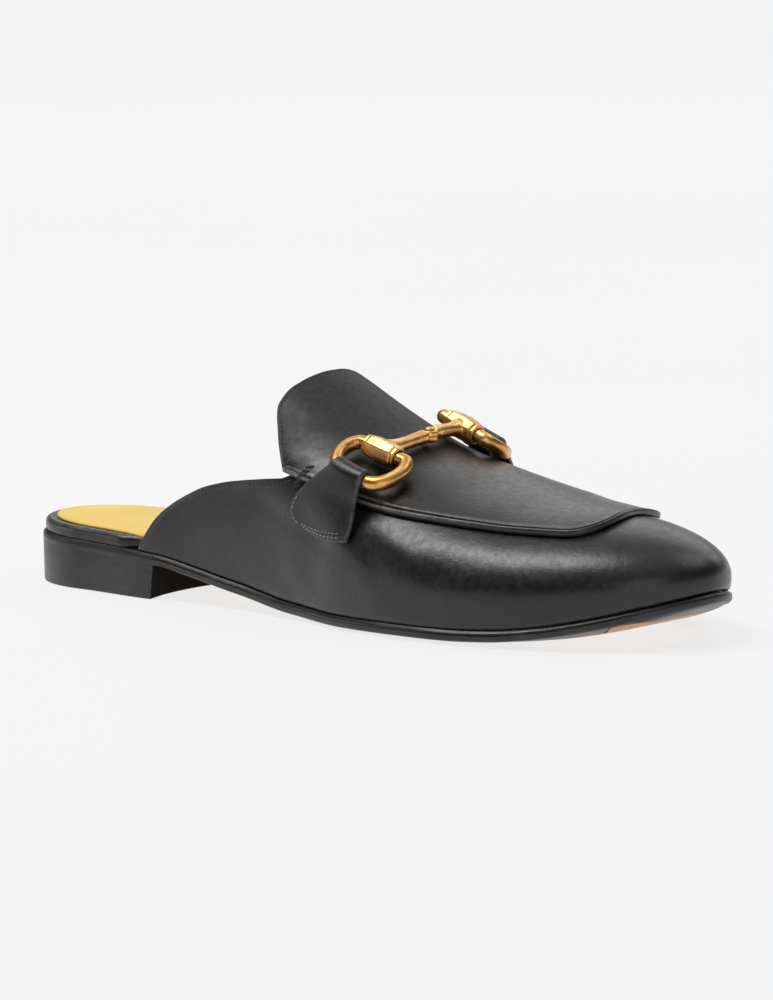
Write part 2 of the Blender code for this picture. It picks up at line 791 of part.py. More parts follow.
def tab(name, half, finish, columns=8, wraps=9):
    """Strap from the quarter over the apron's edge and round the outer side of the ring."""
    side = half.side
    outer, inner = [], []
    for i in range(columns + 1):
        t = i / columns
        outer_row, inner_row = [], []
        for k, row in enumerate(TAB):
            x = row.rear_x + (row.front_x - row.rear_x) * t
            sag = TAB_SAG * 4 * t * (1 - t) if k == 0 else 0.0
            drop = half.strap_drop * k / (len(TAB) - 1)
            z = row.rear_z + (row.front_z - row.rear_z) * t - sag - drop
            share = share_at_height(x, z, side)
            inner_row.append(last_offset(x, share, side, row.gap))
            outer_row.append(last_offset(x, share, side, row.gap + TAB_THICKNESS))
        start, end = TAB_ON_RING
        at = start + (end - start) * t
        centre = on_ring(half, at, outer_side(at))
        along = unit(on_ring(half, at + 0.3, outer_side(at + 0.3)) - centre)
        p, q = ring_axes(half)
        up = unit(np.cross(p, q)) * (1 if np.cross(p, q)[2] > 0 else -1)
        out = q - along * (q @ along)
        out = unit(out - up * (out @ up))
        low, high = TAB_WRAP
        for k in range(wraps + 1):
            angle = math.radians(low + (high - low) * k / wraps)
            ray = math.cos(angle) * out + math.sin(angle) * up
            inner_row.append(centre + ray * (RING_TUBE + BORE_CLEARANCE))
            outer_row.append(centre + ray * (RING_TUBE + BORE_CLEARANCE + TAB_THICKNESS))
        outer.append(outer_row)
        inner.append(inner_row)
    faces = grid_faces(outer) + grid_faces(inner, flip=True)
    for i in (0, -1):
        faces += grid_faces([outer[i], inner[i]])
        faces += grid_faces([[row[i] for row in outer], [row[i] for row in inner]])
    return make_object(name, faces, finish)


# ---------------------------------------------------------------- assembly


def clear_scene():
    for old in list(bpy.data.objects):
        bpy.data.objects.remove(old, do_unlink=True)


def stand_on_origin(pieces):
    """Moves every piece so that the middle of the shoe's box stands over the origin."""
    corners = np.array([vertex.co for piece in pieces for vertex in piece.data.vertices])
    middle = (corners.min(axis=0) + corners.max(axis=0)) / 2
    for piece in pieces:
        piece.location = (-middle[0], -middle[1], 0.0)


def main():
    clear_scene()
    black_calf = material("black_calf", (0.012, 0.012, 0.013), 0.35)
    black_edge = material("black_edge", (0.010, 0.010, 0.011), 0.3)
    natural_sole = material("natural_sole_leather", (0.52, 0.27, 0.11), 0.5)
    yellow_sock = material("yellow_sock_leather", (0.86, 0.60, 0.10), 0.5)
    brass = material("antique_brass", (0.72, 0.43, 0.12), 0.3, 1.0)
    pieces = [
        outsole(natural_sole),
        heel(black_edge),
        insole_board(black_calf),
        sock_lining(yellow_sock),
        upper(black_calf),
        apron_tongue(black_calf),
        tab("tab_lateral", BIT[0], black_calf),
        tab("tab_medial", BIT[1], black_calf),
        bit_ring("bit_ring_lateral", BIT[0], brass),
        bit_ring("bit_ring_medial", BIT[1], brass),
        *bit_bars(brass),
    ]
    stand_on_origin(pieces)


main()
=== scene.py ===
import math

import bmesh
import bpy
import numpy as np
from mathutils import Matrix


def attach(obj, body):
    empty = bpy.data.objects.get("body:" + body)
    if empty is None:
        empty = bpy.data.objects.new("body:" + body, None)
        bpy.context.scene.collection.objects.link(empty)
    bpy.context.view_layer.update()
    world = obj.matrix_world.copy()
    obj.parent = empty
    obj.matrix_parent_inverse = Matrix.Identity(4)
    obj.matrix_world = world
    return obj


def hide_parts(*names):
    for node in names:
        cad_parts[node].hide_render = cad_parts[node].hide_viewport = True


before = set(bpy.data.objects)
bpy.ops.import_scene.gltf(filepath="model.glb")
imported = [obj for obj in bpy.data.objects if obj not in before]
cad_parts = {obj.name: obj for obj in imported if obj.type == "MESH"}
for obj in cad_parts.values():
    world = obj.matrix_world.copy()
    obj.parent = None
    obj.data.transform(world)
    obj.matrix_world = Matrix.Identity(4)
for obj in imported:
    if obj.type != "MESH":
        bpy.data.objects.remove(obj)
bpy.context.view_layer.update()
print("frame loaded with", len(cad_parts), "solids")

# Sizes are millimetres from the back of the heel: x to the toe, y to the medial side, z up.
# toMetres moves them to the middle of the sole.
mm = 0.001
lateral, medial = -1, 1
bothSides = (lateral, medial)
sideName = {lateral: "lateral", medial: "medial"}
middleOfShoe = np.array([143.5, -0.45, 0.0])


# Small tools: colours, nodes, curves, meshes

def toMetres(points):
    return (np.asarray(points, float) - middleOfShoe) * mm


def hexColour(code):
    # the standard curve from stored to linear light
    parts = [int(code[i:i + 2], 16) / 255 for i in (1, 3, 5)]
    return tuple(p / 12.92 if p <= 0.04045 else ((p + 0.055) / 1.055) ** 2.4 for p in parts) + (1.0,)


def feed(tree, node, inputs):
    # inputs by name or number, or a plain row of them in order
    for name, value in inputs.items() if isinstance(inputs, dict) else enumerate(inputs):
        if isinstance(value, bpy.types.NodeSocket):
            tree.links.new(value, node.inputs[name])
        else:
            node.inputs[name].default_value = value


def addNode(tree, kind, inputs=(), out=0, **settings):
    # adds a node with its settings and links, and gives one of its outputs
    node = tree.nodes.new(kind)
    for name, value in settings.items():
        setattr(node, name, value)
    feed(tree, node, inputs)
    return node.outputs[out] if len(node.outputs) else None


def smoothCurve(keys, values):
    # passes through every value and never overshoots between two of them
    keys, values = np.array(keys, float), np.array(values, float)
    steps = np.diff(keys)
    slopes = np.diff(values) / steps
    tangents = np.concatenate([[slopes[0]], np.zeros(len(keys) - 2), [slopes[-1]]])
    for i in range(1, len(keys) - 1):
        if slopes[i - 1] * slopes[i] > 0:
            before, after = 2 * steps[i] + steps[i - 1], steps[i] + 2 * steps[i - 1]
            tangents[i] = (before + after) / (before / slopes[i - 1] + after / slopes[i])

    def valueAt(at):
        at = np.clip(np.asarray(at, float), keys[0], keys[-1])
        i = np.clip(np.searchsorted(keys, at, side="right") - 1, 0, len(keys) - 2)
        t = (at - keys[i]) / steps[i]
        return (values[i] * (1 + 2 * t) * (1 - t) ** 2 + tangents[i] * steps[i] * t * (1 - t) ** 2
                + values[i + 1] * t * t * (3 - 2 * t) + tangents[i + 1] * steps[i] * t * t * (t - 1))

    return valueAt


def curvesOf(rows):
    columns = list(zip(*rows))
    return [smoothCurve(columns[0], column) for column in columns[1:]]


def easeBetween(value, low, high):
    t = np.clip((np.asarray(value, float) - low) / (high - low), 0, 1)
    return t * t * (3 - 2 * t)


def hump(value, centre, width):
    return np.exp(-((np.asarray(value, float) - centre) / width) ** 2)


def unit(vector):
    vector = np.asarray(vector, float)
    return vector / np.linalg.norm(vector, axis=-1, keepdims=True)


def runAlong(points):
    # distance covered so far at each point along the first axis
    steps = np.linalg.norm(np.diff(points, axis=0), axis=-1)
    return np.concatenate([np.zeros_like(steps[:1]), np.cumsum(steps, axis=0)])


def halved(low, high, tooLow, rounds=30):
    # closes in on the value where tooLow turns false
    for _ in range(rounds):
        middle = (low + high) / 2
        under = tooLow(middle)
        low, high = np.where(under, middle, low), np.where(under, high, middle)
    return (low + high) / 2


def addObject(name, data):
    made = bpy.data.objects.new(name, data)
    bpy.context.scene.collection.objects.link(made)
    return made


def evaluatedMesh(made):
    return bpy.data.meshes.new_from_object(made.evaluated_get(bpy.context.evaluated_depsgraph_get()))


def applyModifiers(made):
    mesh = evaluatedMesh(made)
    made.modifiers.clear()
    made.data = mesh


def buildMesh(name, points, faces, finishes, faceFinish=None, wearAndGlint=None, sharpAngle=45):
    # welds coinciding points, turns faces outwards and keeps at each point a value for rubbed wear and for painted
    # highlights
    mesh = bpy.data.meshes.new(name)
    mesh.from_pydata(toMetres(points).tolist(), [], faces)
    if faceFinish is not None:
        mesh.polygons.foreach_set("material_index", faceFinish)
    if wearAndGlint is not None:
        mesh.attributes.new("wearAndGlint", "FLOAT", "POINT").data.foreach_set("value", np.asarray(wearAndGlint, float))
    for finish in finishes:
        mesh.materials.append(finish)
    work = bmesh.new()
    work.from_mesh(mesh)
    bmesh.ops.remove_doubles(work, verts=work.verts, dist=2e-6)
    bmesh.ops.dissolve_degenerate(work, edges=work.edges, dist=1e-6)
    bmesh.ops.recalc_face_normals(work, faces=work.faces)
    work.to_mesh(mesh)
    work.free()
    mesh.shade_smooth()
    mesh.set_sharp_from_angle(angle=math.radians(sharpAngle))
    return addObject(name, mesh)


firstRow, lastRow = (0, slice(None)), (-1, slice(None))
firstColumn, lastColumn = (slice(None), 0), (slice(None), -1)


def gridFaces(rows, columns, start=0, flip=False):
    r, c = np.meshgrid(np.arange(rows - 1), np.arange(columns - 1), indexing="ij")
    a = (start + r * columns + c).ravel()
    faces = np.stack([a, a + 1, a + 1 + columns, a + columns], -1)
    return (faces[:, ::-1] if flip else faces).tolist()


def stripFaces(line, other):
    line, other = list(line), list(other)
    return [[line[i], line[i + 1], other[i + 1], other[i]] for i in range(len(line) - 1)]


def closedSkin(outer, inner, edges):
    # two grids of points back to back, joined along the given edges
    rows, columns = outer.shape[:2]
    index = np.arange(rows * columns).reshape(rows, columns)
    under = index + index.size
    strips = [stripFaces(index[edge], under[edge]) for edge in edges]
    points = np.concatenate([outer.reshape(-1, 3), inner.reshape(-1, 3)])
    return points, gridFaces(rows, columns), gridFaces(rows, columns, index.size, flip=True), strips


def tubePart(centres, radii, startAxis, facets=24, closed=False, outline=None):
    # round tube along a line of points; outline(turn) may swell or flatten its section
    centres = np.asarray(centres, float)
    count = len(centres)
    radii = np.broadcast_to(np.asarray(radii, float), (count,))
    turns = np.linspace(0, 2 * math.pi, facets, endpoint=False)
    swell = outline(turns) if outline else np.ones(facets)
    across = np.asarray(startAxis, float)
    points = []
    for i in range(count):
        before = centres[i - 1] if i or closed else centres[i]
        after = centres[(i + 1) % count] if i < count - 1 or closed else centres[i]
        along = unit(after - before)
        across = unit(across - along * (across @ along))
        ray = np.outer(np.cos(turns), across) + np.outer(np.sin(turns), np.cross(along, across))
        points.append(centres[i] + radii[i] * ray * swell[:, None])
    faces = []
    for i in range(count if closed else count - 1):
        here, there = i * facets, (i + 1) % count * facets
        faces += [[here + k, here + (k + 1) % facets, there + (k + 1) % facets, there + k] for k in range(facets)]
    if not closed:
        faces += [list(range(facets))[::-1], list(range((count - 1) * facets, count * facets))]
    return np.concatenate(points), faces


def joinParts(parts):
    points, faces, start = [], [], 0
    for partPoints, partFaces in parts:
        points.append(partPoints)
        faces += [[start + i for i in face] for face in partFaces]
        start += len(partPoints)
    return np.concatenate(points), faces


def splineThrough(keys, perSpan, closed=False):
    # smooth line through key points, rows of any width
    keys = np.asarray(keys, float)
    count = len(keys)
    line = []
    for i in range(count if closed else count - 1):
        if closed:
            a, b, c, d = (keys[(i + k) % count] for k in (-1, 0, 1, 2))
        else:
            b, c = keys[i], keys[i + 1]
            a = keys[i - 1] if i else 2 * b - c
            d = keys[i + 2] if i + 2 < count else 2 * c - b
        square, cube = 2 * a - 5 * b + 4 * c - d, 3 * b - a - 3 * c + d
        line += [0.5 * (2 * b + (c - a) * t + square * t**2 + cube * t**3) for t in np.arange(perSpan) / perSpan]
    return np.array(line if closed else line + [keys[-1]])


def settle(made, slotName, *nodes):
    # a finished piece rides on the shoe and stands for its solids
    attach(made, "root")
    if nodes:
        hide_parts(*nodes)
    print(" ", made.name, len(made.data.polygons), "faces")


# Materials

def newFinish(name):
    finish = bpy.data.materials.new(name)
    finish.use_nodes = True
    return finish, finish.node_tree, addNode(finish.node_tree, "ShaderNodeTexCoord", out="Object")


def makeFinish(settings):
    finish, tree, place = newFinish(settings["name"])
    patterns = {"height": addNode(tree, "ShaderNodeSeparateXYZ", [place], out="Z")} if settings.get("flexes") else {}
    for name, (grainMm, detail, roughness) in settings["patterns"].items():
        at = place
        if name == "layers":  # drawn out along the edge
            at = addNode(tree, "ShaderNodeMapping", {"Vector": place, "Scale": (0.12, 0.12, 1.0)})
        patterns[name] = addNode(tree, "ShaderNodeTexNoise", {"Vector": at, "Scale": 1 / (grainMm * mm),
                                                              "Detail": detail, "Roughness": roughness})
    levels = {}
    for name, (pattern, low, high, *ends) in settings["levels"].items():
        levels[name] = addNode(tree, "ShaderNodeMapRange", (patterns[pattern], *(ends or (0.3, 0.7)), low, high))
    # the pale third tone comes in by the points' value: rubbed edges, and painted highlights along the apron's beads
    if settings.get("rubsAndGlints"):
        wearAndGlint = addNode(tree, "ShaderNodeAttribute", out="Fac", attribute_name="wearAndGlint")
        levels["over"] = addNode(tree, "ShaderNodeMath", (wearAndGlint, levels["over"]), operation="MULTIPLY")
    if settings.get("flexes"):
        levels["gloss"] = addNode(tree, "ShaderNodeMath", (levels["gloss"], levels["flex"]), operation="ADD")
    colour, *others = (hexColour(tone) for tone in settings["tones"])
    for name, tone in zip(("drift", "over"), others):
        colour = addNode(tree, "ShaderNodeMix", {0: levels[name], 6: colour, 7: tone}, 2, data_type="RGBA")
    relief = {}
    for name, depthMm in settings["bumps"]:
        height = {"Height": patterns[name], "Distance": depthMm * mm}
        relief = {"Normal": addNode(tree, "ShaderNodeBump", {**height, **relief})}
    feed(tree, tree.nodes["Principled BSDF"], {"Base Color": colour, "Roughness": levels["gloss"], **relief,
                                               **settings.get("fixed", {})})
    return finish


# A pattern has the size of its grain in millimetres, its detail and its roughness.
# A level is a pattern, what it gives at its low and high end, and where those ends lie: 0.3 and 0.7 if not told.
# The first two tones drift into each other, the third lies over them, and the gloss is the surface's roughness.
finishSettings = {
    # Aniline-dyed, glazed calf: deep black with a soft sheen, a pebble that only shows in the light's edge, and
    # edges rubbed a little greyer. The same pale grey also paints highlights along the apron's beads. Its grain is
    # about 0.3 mm and is drawn coarser so that it shows. The tongue, the only leather so high up, is bent at every
    # step and has lost its glaze.
    "calf": {"name": "smoothBlackCalf", "tones": ("#0b0b0c", "#151515", "#8c8986"), "rubsAndGlints": True, "flexes": True,
             "patterns": {"cloud": (30, 3, 0.5), "rubAndGlint": (2.5, 3, 0.5), "mottle": (2.1, 2, 0.5), "wave": (13, 1, 0.5),
                          "grain": (0.8, 2, 0.6)},
             "levels": {"drift": ("cloud", 0, 1), "over": ("rubAndGlint", 0.2, 1.0), "gloss": ("mottle", 0.28, 0.4),
                        "flex": ("height", 0, 0.34, 50 * mm, 60 * mm)},
             "bumps": [("wave", 0.16), ("mottle", 0.07), ("grain", 0.036)],
             "fixed": {"IOR": 1.5, "Coat Weight": 0.12, "Coat Roughness": 0.25}},
    # Vegetable-tanned leather without a glaze: warm, matt, with loose fibres and darker handling marks.
    "lining": {"name": "tanLining", "tones": ("#8a6440", "#a67c52", "#6f4c2e"),
               "patterns": {"cloud": (22, 4, 0.5), "mark": (6, 5, 0.7), "fibre": (0.5, 3, 0.7)},
               "levels": {"drift": ("cloud", 0, 1), "over": ("mark", 0, 0.5, 0.52, 0.75),
                          "gloss": ("fibre", 0.5, 0.65)},
               "bumps": [("fibre", 0.05)]},
    # The same kind of leather dyed yellow and handled less: brighter, with paler marks.
    "sock": {"name": "yellowSockLeather", "tones": ("#f3cb50", "#f8d76e", "#e0b048"),
             "patterns": {"cloud": (35, 4, 0.5), "mark": (9, 5, 0.7), "fibre": (0.6, 3, 0.7)},
             "levels": {"drift": ("cloud", 0, 1), "over": ("mark", 0, 0.2, 0.52, 0.75),
                        "gloss": ("fibre", 0.42, 0.55)},
             "bumps": [("fibre", 0.04)]},
    # Vegetable-tanned bend, rolled hard and left natural: a clear tan with a closed grain and brown marks.
    "sole": {"name": "naturalSoleLeather", "tones": ("#b98552", "#cf9c66", "#8a5d38"),
             "patterns": {"cloud": (28, 4, 0.5), "mark": (5, 5, 0.7), "fibre": (0.45, 3, 0.7)},
             "levels": {"drift": ("cloud", 0, 1), "over": ("mark", 0, 0.6, 0.52, 0.75),
                        "gloss": ("fibre", 0.45, 0.62)},
             "bumps": [("fibre", 0.06)]},
    # Stacked leather inked black and burnished with wax: satin, with faint layers and short scuffs along it.
    "edge": {"name": "inkedLeatherEdge", "tones": ("#100f10", "#1c1b1b", "#4a433c"),
             "patterns": {"cloud": (14, 4, 0.6), "layers": (1.6, 3, 0.6), "grain": (0.5, 3, 0.6)},
             "levels": {"drift": ("cloud", 0, 1), "over": ("layers", 0, 0.35, 0.5, 0.72),
                        "gloss": ("layers", 0.28, 0.4)},
             "bumps": [("layers", 0.04), ("grain", 0.015)], "fixed": {"Specular IOR Level": 0.5}},
    # The same stack inked but not waxed: brown-black and quite matt.
    "breast": {"name": "inkedHeelBreast", "tones": ("#0d0a08", "#17110d", "#2a201a"),
               "patterns": {"cloud": (9, 4, 0.6), "layers": (1.6, 3, 0.6), "grain": (0.5, 3, 0.6)},
               "levels": {"drift": ("cloud", 0, 1), "over": ("layers", 0, 0.35, 0.5, 0.72),
                          "gloss": ("layers", 0.6, 0.75)},
               "bumps": [("layers", 0.05), ("grain", 0.03)], "fixed": {"Specular IOR Level": 0.03}},
    # Cast brass, gold plated, tumbled and lacquered: warm satin gold that turns browner in patches.
    "brass": {"name": "antiqueBrass", "tones": ("#f8c980", "#d3954f"),
              "patterns": {"patina": (7, 4, 0.6), "tumbled": (1.8, 3, 0.6)},
              "levels": {"drift": ("patina", 0, 1, 0.35, 0.65), "gloss": ("tumbled", 0.28, 0.36)},
              "bumps": [("tumbled", 0.008)], "fixed": {"Metallic": 1.0, "Coat Weight": 0.1, "Coat Roughness": 0.2}},
    # Bonded polyester thread, lightly waxed: plain grey with a small gleam on every stitch, black-grey or pale.
    "thread": {"name": "waxedThread", "tones": ("#1b1b1c", "#333334"), "patterns": {"ply": (0.4, 2, 0.5)},
               "levels": {"drift": ("ply", 0, 1), "gloss": ("ply", 0.35, 0.5)}, "bumps": [("ply", 0.04)],
               "fixed": {"Sheen Weight": 0.2}},
    "paleThread": {"name": "greyThread", "tones": ("#6e6e6f", "#8e8e8e"), "patterns": {"ply": (0.4, 2, 0.5)},
                   "levels": {"drift": ("ply", 0, 1), "gloss": ("ply", 0.4, 0.55)}, "bumps": [("ply", 0.04)],
                   "fixed": {"Sheen Weight": 0.2}},
}
calf, lining, sock, soleLeather, edgeInk, breastInk, brass, thread, paleThread = (
    makeFinish(settings) for settings in finishSettings.values())
print("materials ready")


# The sole's outline and heights

sole = {
    "length": 287.0, "heelLength": 73.0, "heelRound": 33.0, "heelRoundness": 2.0, "toeRoundStart": 203.0,
    "toeRoundness": 1.85, "thickness": 3.0, "upperInset": 0.9, "seamGap": 0.5,
    # x, half width, middle, underside, camber of the underside's edges
    "rows": [(0, 26.0, -0.2, 14.3, 0.0), (33, 26.6, -0.6, 13.2, 0.0), (73, 29.2, -1.8, 11.5, 0.0),
             (90, 28.6, -2.6, 8.9, 0.0), (110, 28.3, -3.9, 5.4, 0.1), (140, 32.8, -4.5, 1.2, 0.6),
             (168, 41.3, -3.4, 0.0, 1.0), (190, 46.4, -1.4, 0.0, 1.2), (214, 48.2, -0.4, 0.0, 1.3),
             (230, 48.2, -0.8, 0.4, 1.5), (246, 48.0, -1.8, 1.9, 1.8), (262, 47.6, -2.6, 4.8, 2.0),
             (274, 47.6, -3.0, 8.4, 1.5), (287, 47.6, -3.0, 13.6, 0.0)],
}
soleHalfWidth, soleMiddle, soleMiddleUnderside, soleCamber = curvesOf(sole["rows"])


def roundEnd(t, roundness):
    return np.maximum(0.0, 1 - np.clip(t, 0, 1) ** roundness) ** (1 / roundness)


def soleEdge(x, side, inset=0.0):
    length, toe = sole["length"], sole["toeRoundStart"]
    run = (x - inset) / (length - 2 * inset) * length
    share = roundEnd((sole["heelRound"] - run) / sole["heelRound"], sole["heelRoundness"])
    share = share * roundEnd((run - toe) / (length - toe), sole["toeRoundness"])
    return soleMiddle(x) + side * (soleHalfWidth(run) - inset) * share


def soleUnderside(x, y):
    reach = np.maximum(1.0, soleEdge(x, medial) - soleMiddle(x))
    off = np.minimum(1.0, np.abs(y - soleMiddle(x)) / reach)
    return soleMiddleUnderside(x) + soleCamber(x) * np.maximum(0.0, 2 * off - 1) ** 2


def soleTop(x, y):
    return soleUnderside(x, y) + sole["thickness"]


# The last: s is x up to the toe's pole and then turns round the toe in a fan,
# u is -1 at the lateral edge of the sole, 0 on the crest and 1 at the medial edge

last = {
    "poleX": 240.0, "toeFan": 45.0, "toeSlope": -0.05, "toeShoulderRise": 4.0, "toeBulge": 0.8, "toeSquareness": 2.2,
    "wallShare": 0.3, "patchEnd": 165.0,
    "girth": 78.0,  # from the sole to the crest, near enough to place a fold
    # x, lateral, medial, shoulder, crest's y, crest, squareness
    "rows": [(64, 31.5, 29.5, 38, 0, 116, 2.0), (80, 31.5, 29.5, 38, 0, 108, 2.0), (100, 33.0, 30.5, 36, 0, 92, 2.0),
             (128, 36.5, 32.2, 32, 1, 74.5, 2.0), (150, 41.0, 33.6, 26, 1.5, 62.5, 2.0),
             (170, 45.5, 37.4, 21, 1.3, 53.2, 2.0), (190, 47.6, 43.8, 17, 0.8, 47.2, 2.0),
             (214, 47.8, 46.6, 15, -0.9, 41.9, 2.0), (227, 46.2, 43.8, 15, -2.0, 39.7, 2.0),
             (240, 43.2, 40.2, 15, -3.0, 38.5, 2.0)],
}
lastLateral, lastMedial, lastShoulder, crestY, crestHeight, squareness = curvesOf(last["rows"])
lastTip = sole["length"] - sole["upperInset"]


def featherLine(x, side):
    # the line where the upper meets the sole
    return soleEdge(x, side, sole["upperInset"])


def featherHeight(x, side):
    return soleTop(x, featherLine(x, side)) + sole["seamGap"]


def toeRadii(angles, side):
    def inside(radius):
        x = last["poleX"] + radius * np.cos(angles)
        y = crestY(last["poleX"]) + side * radius * np.sin(angles)
        return (x <= lastTip) & (side * (y - featherLine(np.minimum(x, lastTip), side)) <= 0)

    return halved(np.zeros(len(angles)), np.full(len(angles), 60.0), inside, 40)


fanAngles = np.linspace(0, math.pi / 2, 91)
toeRadius = {side: smoothCurve(fanAngles, toeRadii(fanAngles, side)) for side in bothSides}


def toU(share, side):
    return side * np.maximum(1 - np.asarray(share, float), 1e-9)


def lastPoints(s, u):
    s, u = np.broadcast_arrays(np.asarray(s, float), np.asarray(u, float))
    end = last["poleX"] + last["toeFan"]
    beyond = s > end
    sign = np.where(u < 0, -1.0, 1.0) * np.where(beyond, -1.0, 1.0)
    s = np.where(beyond, 2 * end - s, s)
    share = np.clip(1 - np.abs(u), 0, 1)
    onBody = np.minimum(s, last["poleX"])
    angle = math.pi / 2 * (1 - np.maximum(0, s - last["poleX"]) / last["toeFan"])
    toToe = np.cos(angle) ** 2
    low = share < last["wallShare"]
    rise = np.clip(share / last["wallShare"], 0, 1)
    arch = math.pi / 2 * np.clip((share - last["wallShare"]) / (1 - last["wallShare"]), 0, 1)
    c, h = np.cos(arch), np.sin(arch)
    square = squareness(onBody) * (1 - toToe) + last["toeSquareness"] * toToe
    size = (np.abs(c) ** square + np.abs(h) ** square) ** (-1 / square)
    slope, crest = last["toeSlope"] * np.cos(angle), crestHeight(onBody)
    result = np.zeros(s.shape + (3,))
    for side, bodyWidth in ((lateral, lastLateral), (medial, lastMedial)):
        bodyFeather = np.abs(featherLine(onBody, side) - crestY(onBody))
        bodyWall = bodyWidth(onBody) - side * crestY(onBody)
        feather = np.where(s > last["poleX"], toeRadius[side](angle), bodyFeather)
        base = featherHeight(np.minimum(onBody + feather * np.cos(angle), lastTip), side)
        wall = feather + (bodyWall - bodyFeather) * (1 - toToe) + last["toeBulge"] * toToe
        bodyRise = lastShoulder(onBody) - featherHeight(onBody, side)
        shoulder = base + bodyRise * (1 - toToe) + last["toeShoulderRise"] * toToe
        lowRadius = wall - (wall - feather) * (1 - rise) ** 2
        highRadius = wall * np.maximum(0, c * size)
        highHeight = crest + slope * highRadius - (crest + slope * wall - shoulder) * (1 - h * size)
        radius = np.where(low, lowRadius, highRadius)
        height = np.where(low, base + (shoulder - base) * rise, highHeight)
        point = [onBody + np.cos(angle) * radius, crestY(onBody) + side * np.sin(angle) * radius, height]
        result = np.where((sign == side)[..., None], np.stack(point, -1), result)
    return result


def lastNormals(s, u):
    s, u = np.broadcast_arrays(np.asarray(s, float), np.asarray(u, float))
    sStep, uStep, poleReach = 0.5, 0.02, 0.012
    along = lastPoints(s + sStep, u) - lastPoints(s - sStep, u)
    onFan = s >= last["poleX"]
    above = np.where(onFan & (u < 0), np.minimum(u + uStep, 0.0), u + uStep)
    below = np.where(onFan & (u > 0), np.maximum(u - uStep, 0.0), u - uStep)
    normal = np.cross(along, lastPoints(s, above) - lastPoints(s, below))
    atPole = (onFan & (np.abs(u) < poleReach))[..., None]
    normal = np.where(atPole, np.array([-last["toeSlope"], 0.0, 1.0]), normal)
    flat = np.linalg.norm(normal, axis=-1, keepdims=True) < 1e-12
    return unit(np.where(flat, np.array([0, 0, 1.0]), normal))


def onLast(s, u, distance):
    return lastPoints(s, u) + lastNormals(s, u) * np.asarray(distance, float)[..., None]


def shareAtHeight(s, height, side):
    return halved(np.zeros(np.shape(s)), np.ones(np.shape(s)),
                  lambda share: lastPoints(s, toU(share, side))[..., 2] < height)


def spacedAlong(s, share, side, nearEdge, count):
    # (s, share) at the given distances from the line's start, then evenly on to its end
    run = runAlong(lastPoints(s, toU(share, side)))
    at = np.concatenate([nearEdge, np.linspace(nearEdge[-1], run[-1], count + 1)[1:]])
    return np.interp(at, run, s), np.interp(at, run, share), at


def skinGrid(rearLine, frontShare, nearSide, nearRear, counts):
    # rows from the rear edge to the toe; every row runs from the lateral edge over the crest to the medial one
    across, between, body, fan = counts
    frontX, halves = last["patchEnd"], []
    stations = np.concatenate([np.linspace(frontX, last["poleX"], body),
                               last["poleX"] + last["toeFan"] * np.arange(1, fan + 1) / fan])

    def rowAt(station, side):
        shares = np.linspace(frontShare(station, side), 1, 60)
        return spacedAlong(np.full_like(shares, station), shares, side, nearSide, across)

    for side in bothSides:
        rearS, rearShare, sideRun = spacedAlong(*rearLine(side), side, nearSide, across)
        frontS, frontRow, _ = rowAt(frontX, side)
        ends = [lastPoints(frontS, toU(frontRow, side)), lastPoints(rearS, toU(rearShare, side))]
        reach = np.linalg.norm(ends[0] - ends[1], axis=1)
        nearPart = nearRear[-1] / reach
        weights = [near / reach for near in nearRear]
        weights += [nearPart + (1 - nearPart) * k / (between + 1) for k in range(1, between + 1)]
        rows = [(rearS * (1 - w) + frontS * w, rearShare * (1 - w) + frontRow * w, w * reach, sideRun)
                for w in weights]
        for station in stations:
            rowS, rowShare, run = rowAt(station, side)
            rows.append((rowS, rowShare, reach + station - frontX, run))
        s, share, fromRear, fromSide = (np.array(part) for part in zip(*rows))
        halves.append([s, toU(share, side), fromRear, fromSide])
    return [np.concatenate([one, other[:, ::-1][:, 1:]], axis=1) for one, other in zip(*halves)]


def skinPiece(name, grid, outside, inside, wearAndGlint, linedBefore=0.0):
    # closed leather skin between two offsets; its last row folds shut along the toe's middle
    s, u = grid[:2]
    points, top, under, rims = closedSkin(onLast(s, u, outside), onLast(s, u, inside),
                                          (firstRow, firstColumn, lastColumn))
    finishOf = [0] * len(top) + [1] * len(under) + [0] * len(rims[0])
    for column, rim in zip((0, -1), rims[1:]):
        finishOf += [int(station < linedBefore) for station in s[:len(rim), column]]
    return buildMesh(name, points, top + under + sum(rims, []), [calf, lining], finishOf,
                     np.tile(wearAndGlint.ravel(), 2), sharpAngle=60)


def roundedLip(distance, radius, depth):
    # how far a surface drops as it rolls over a free edge
    t = np.clip(1 - np.asarray(distance, float) / radius, 0, 1)
    return -depth * (1 - np.sqrt(np.maximum(0, 1 - t * t)))


def trough(grid, marks):
    # soft folds, as listed: start and end in (s, share), side, half width and depth in mm (negative for a ridge)
    s, u = grid[:2]
    height = (1 - np.abs(u)) * last["girth"]
    total = np.zeros(s.shape)
    for side, s0, share0, s1, share1, width, depth in marks:
        a, b = np.array([s0, share0 * last["girth"]]), np.array([s1, share1 * last["girth"]])
        length = np.linalg.norm(b - a)
        along = (b - a) / length
        run = ((s - a[0]) * along[0] + (height - a[1]) * along[1]) / length
        away = (height - a[1]) * along[0] - (s - a[0]) * along[1]
        fade = easeBetween(run, -0.15, 0.25) * (1 - easeBetween(run, 0.75, 1.15))  # round both ends
        total -= depth * fade * hump(away, 0, width) * (np.sign(u) == side)
    return total


print("last ready")


# Upper: quarters and vamp in one skin

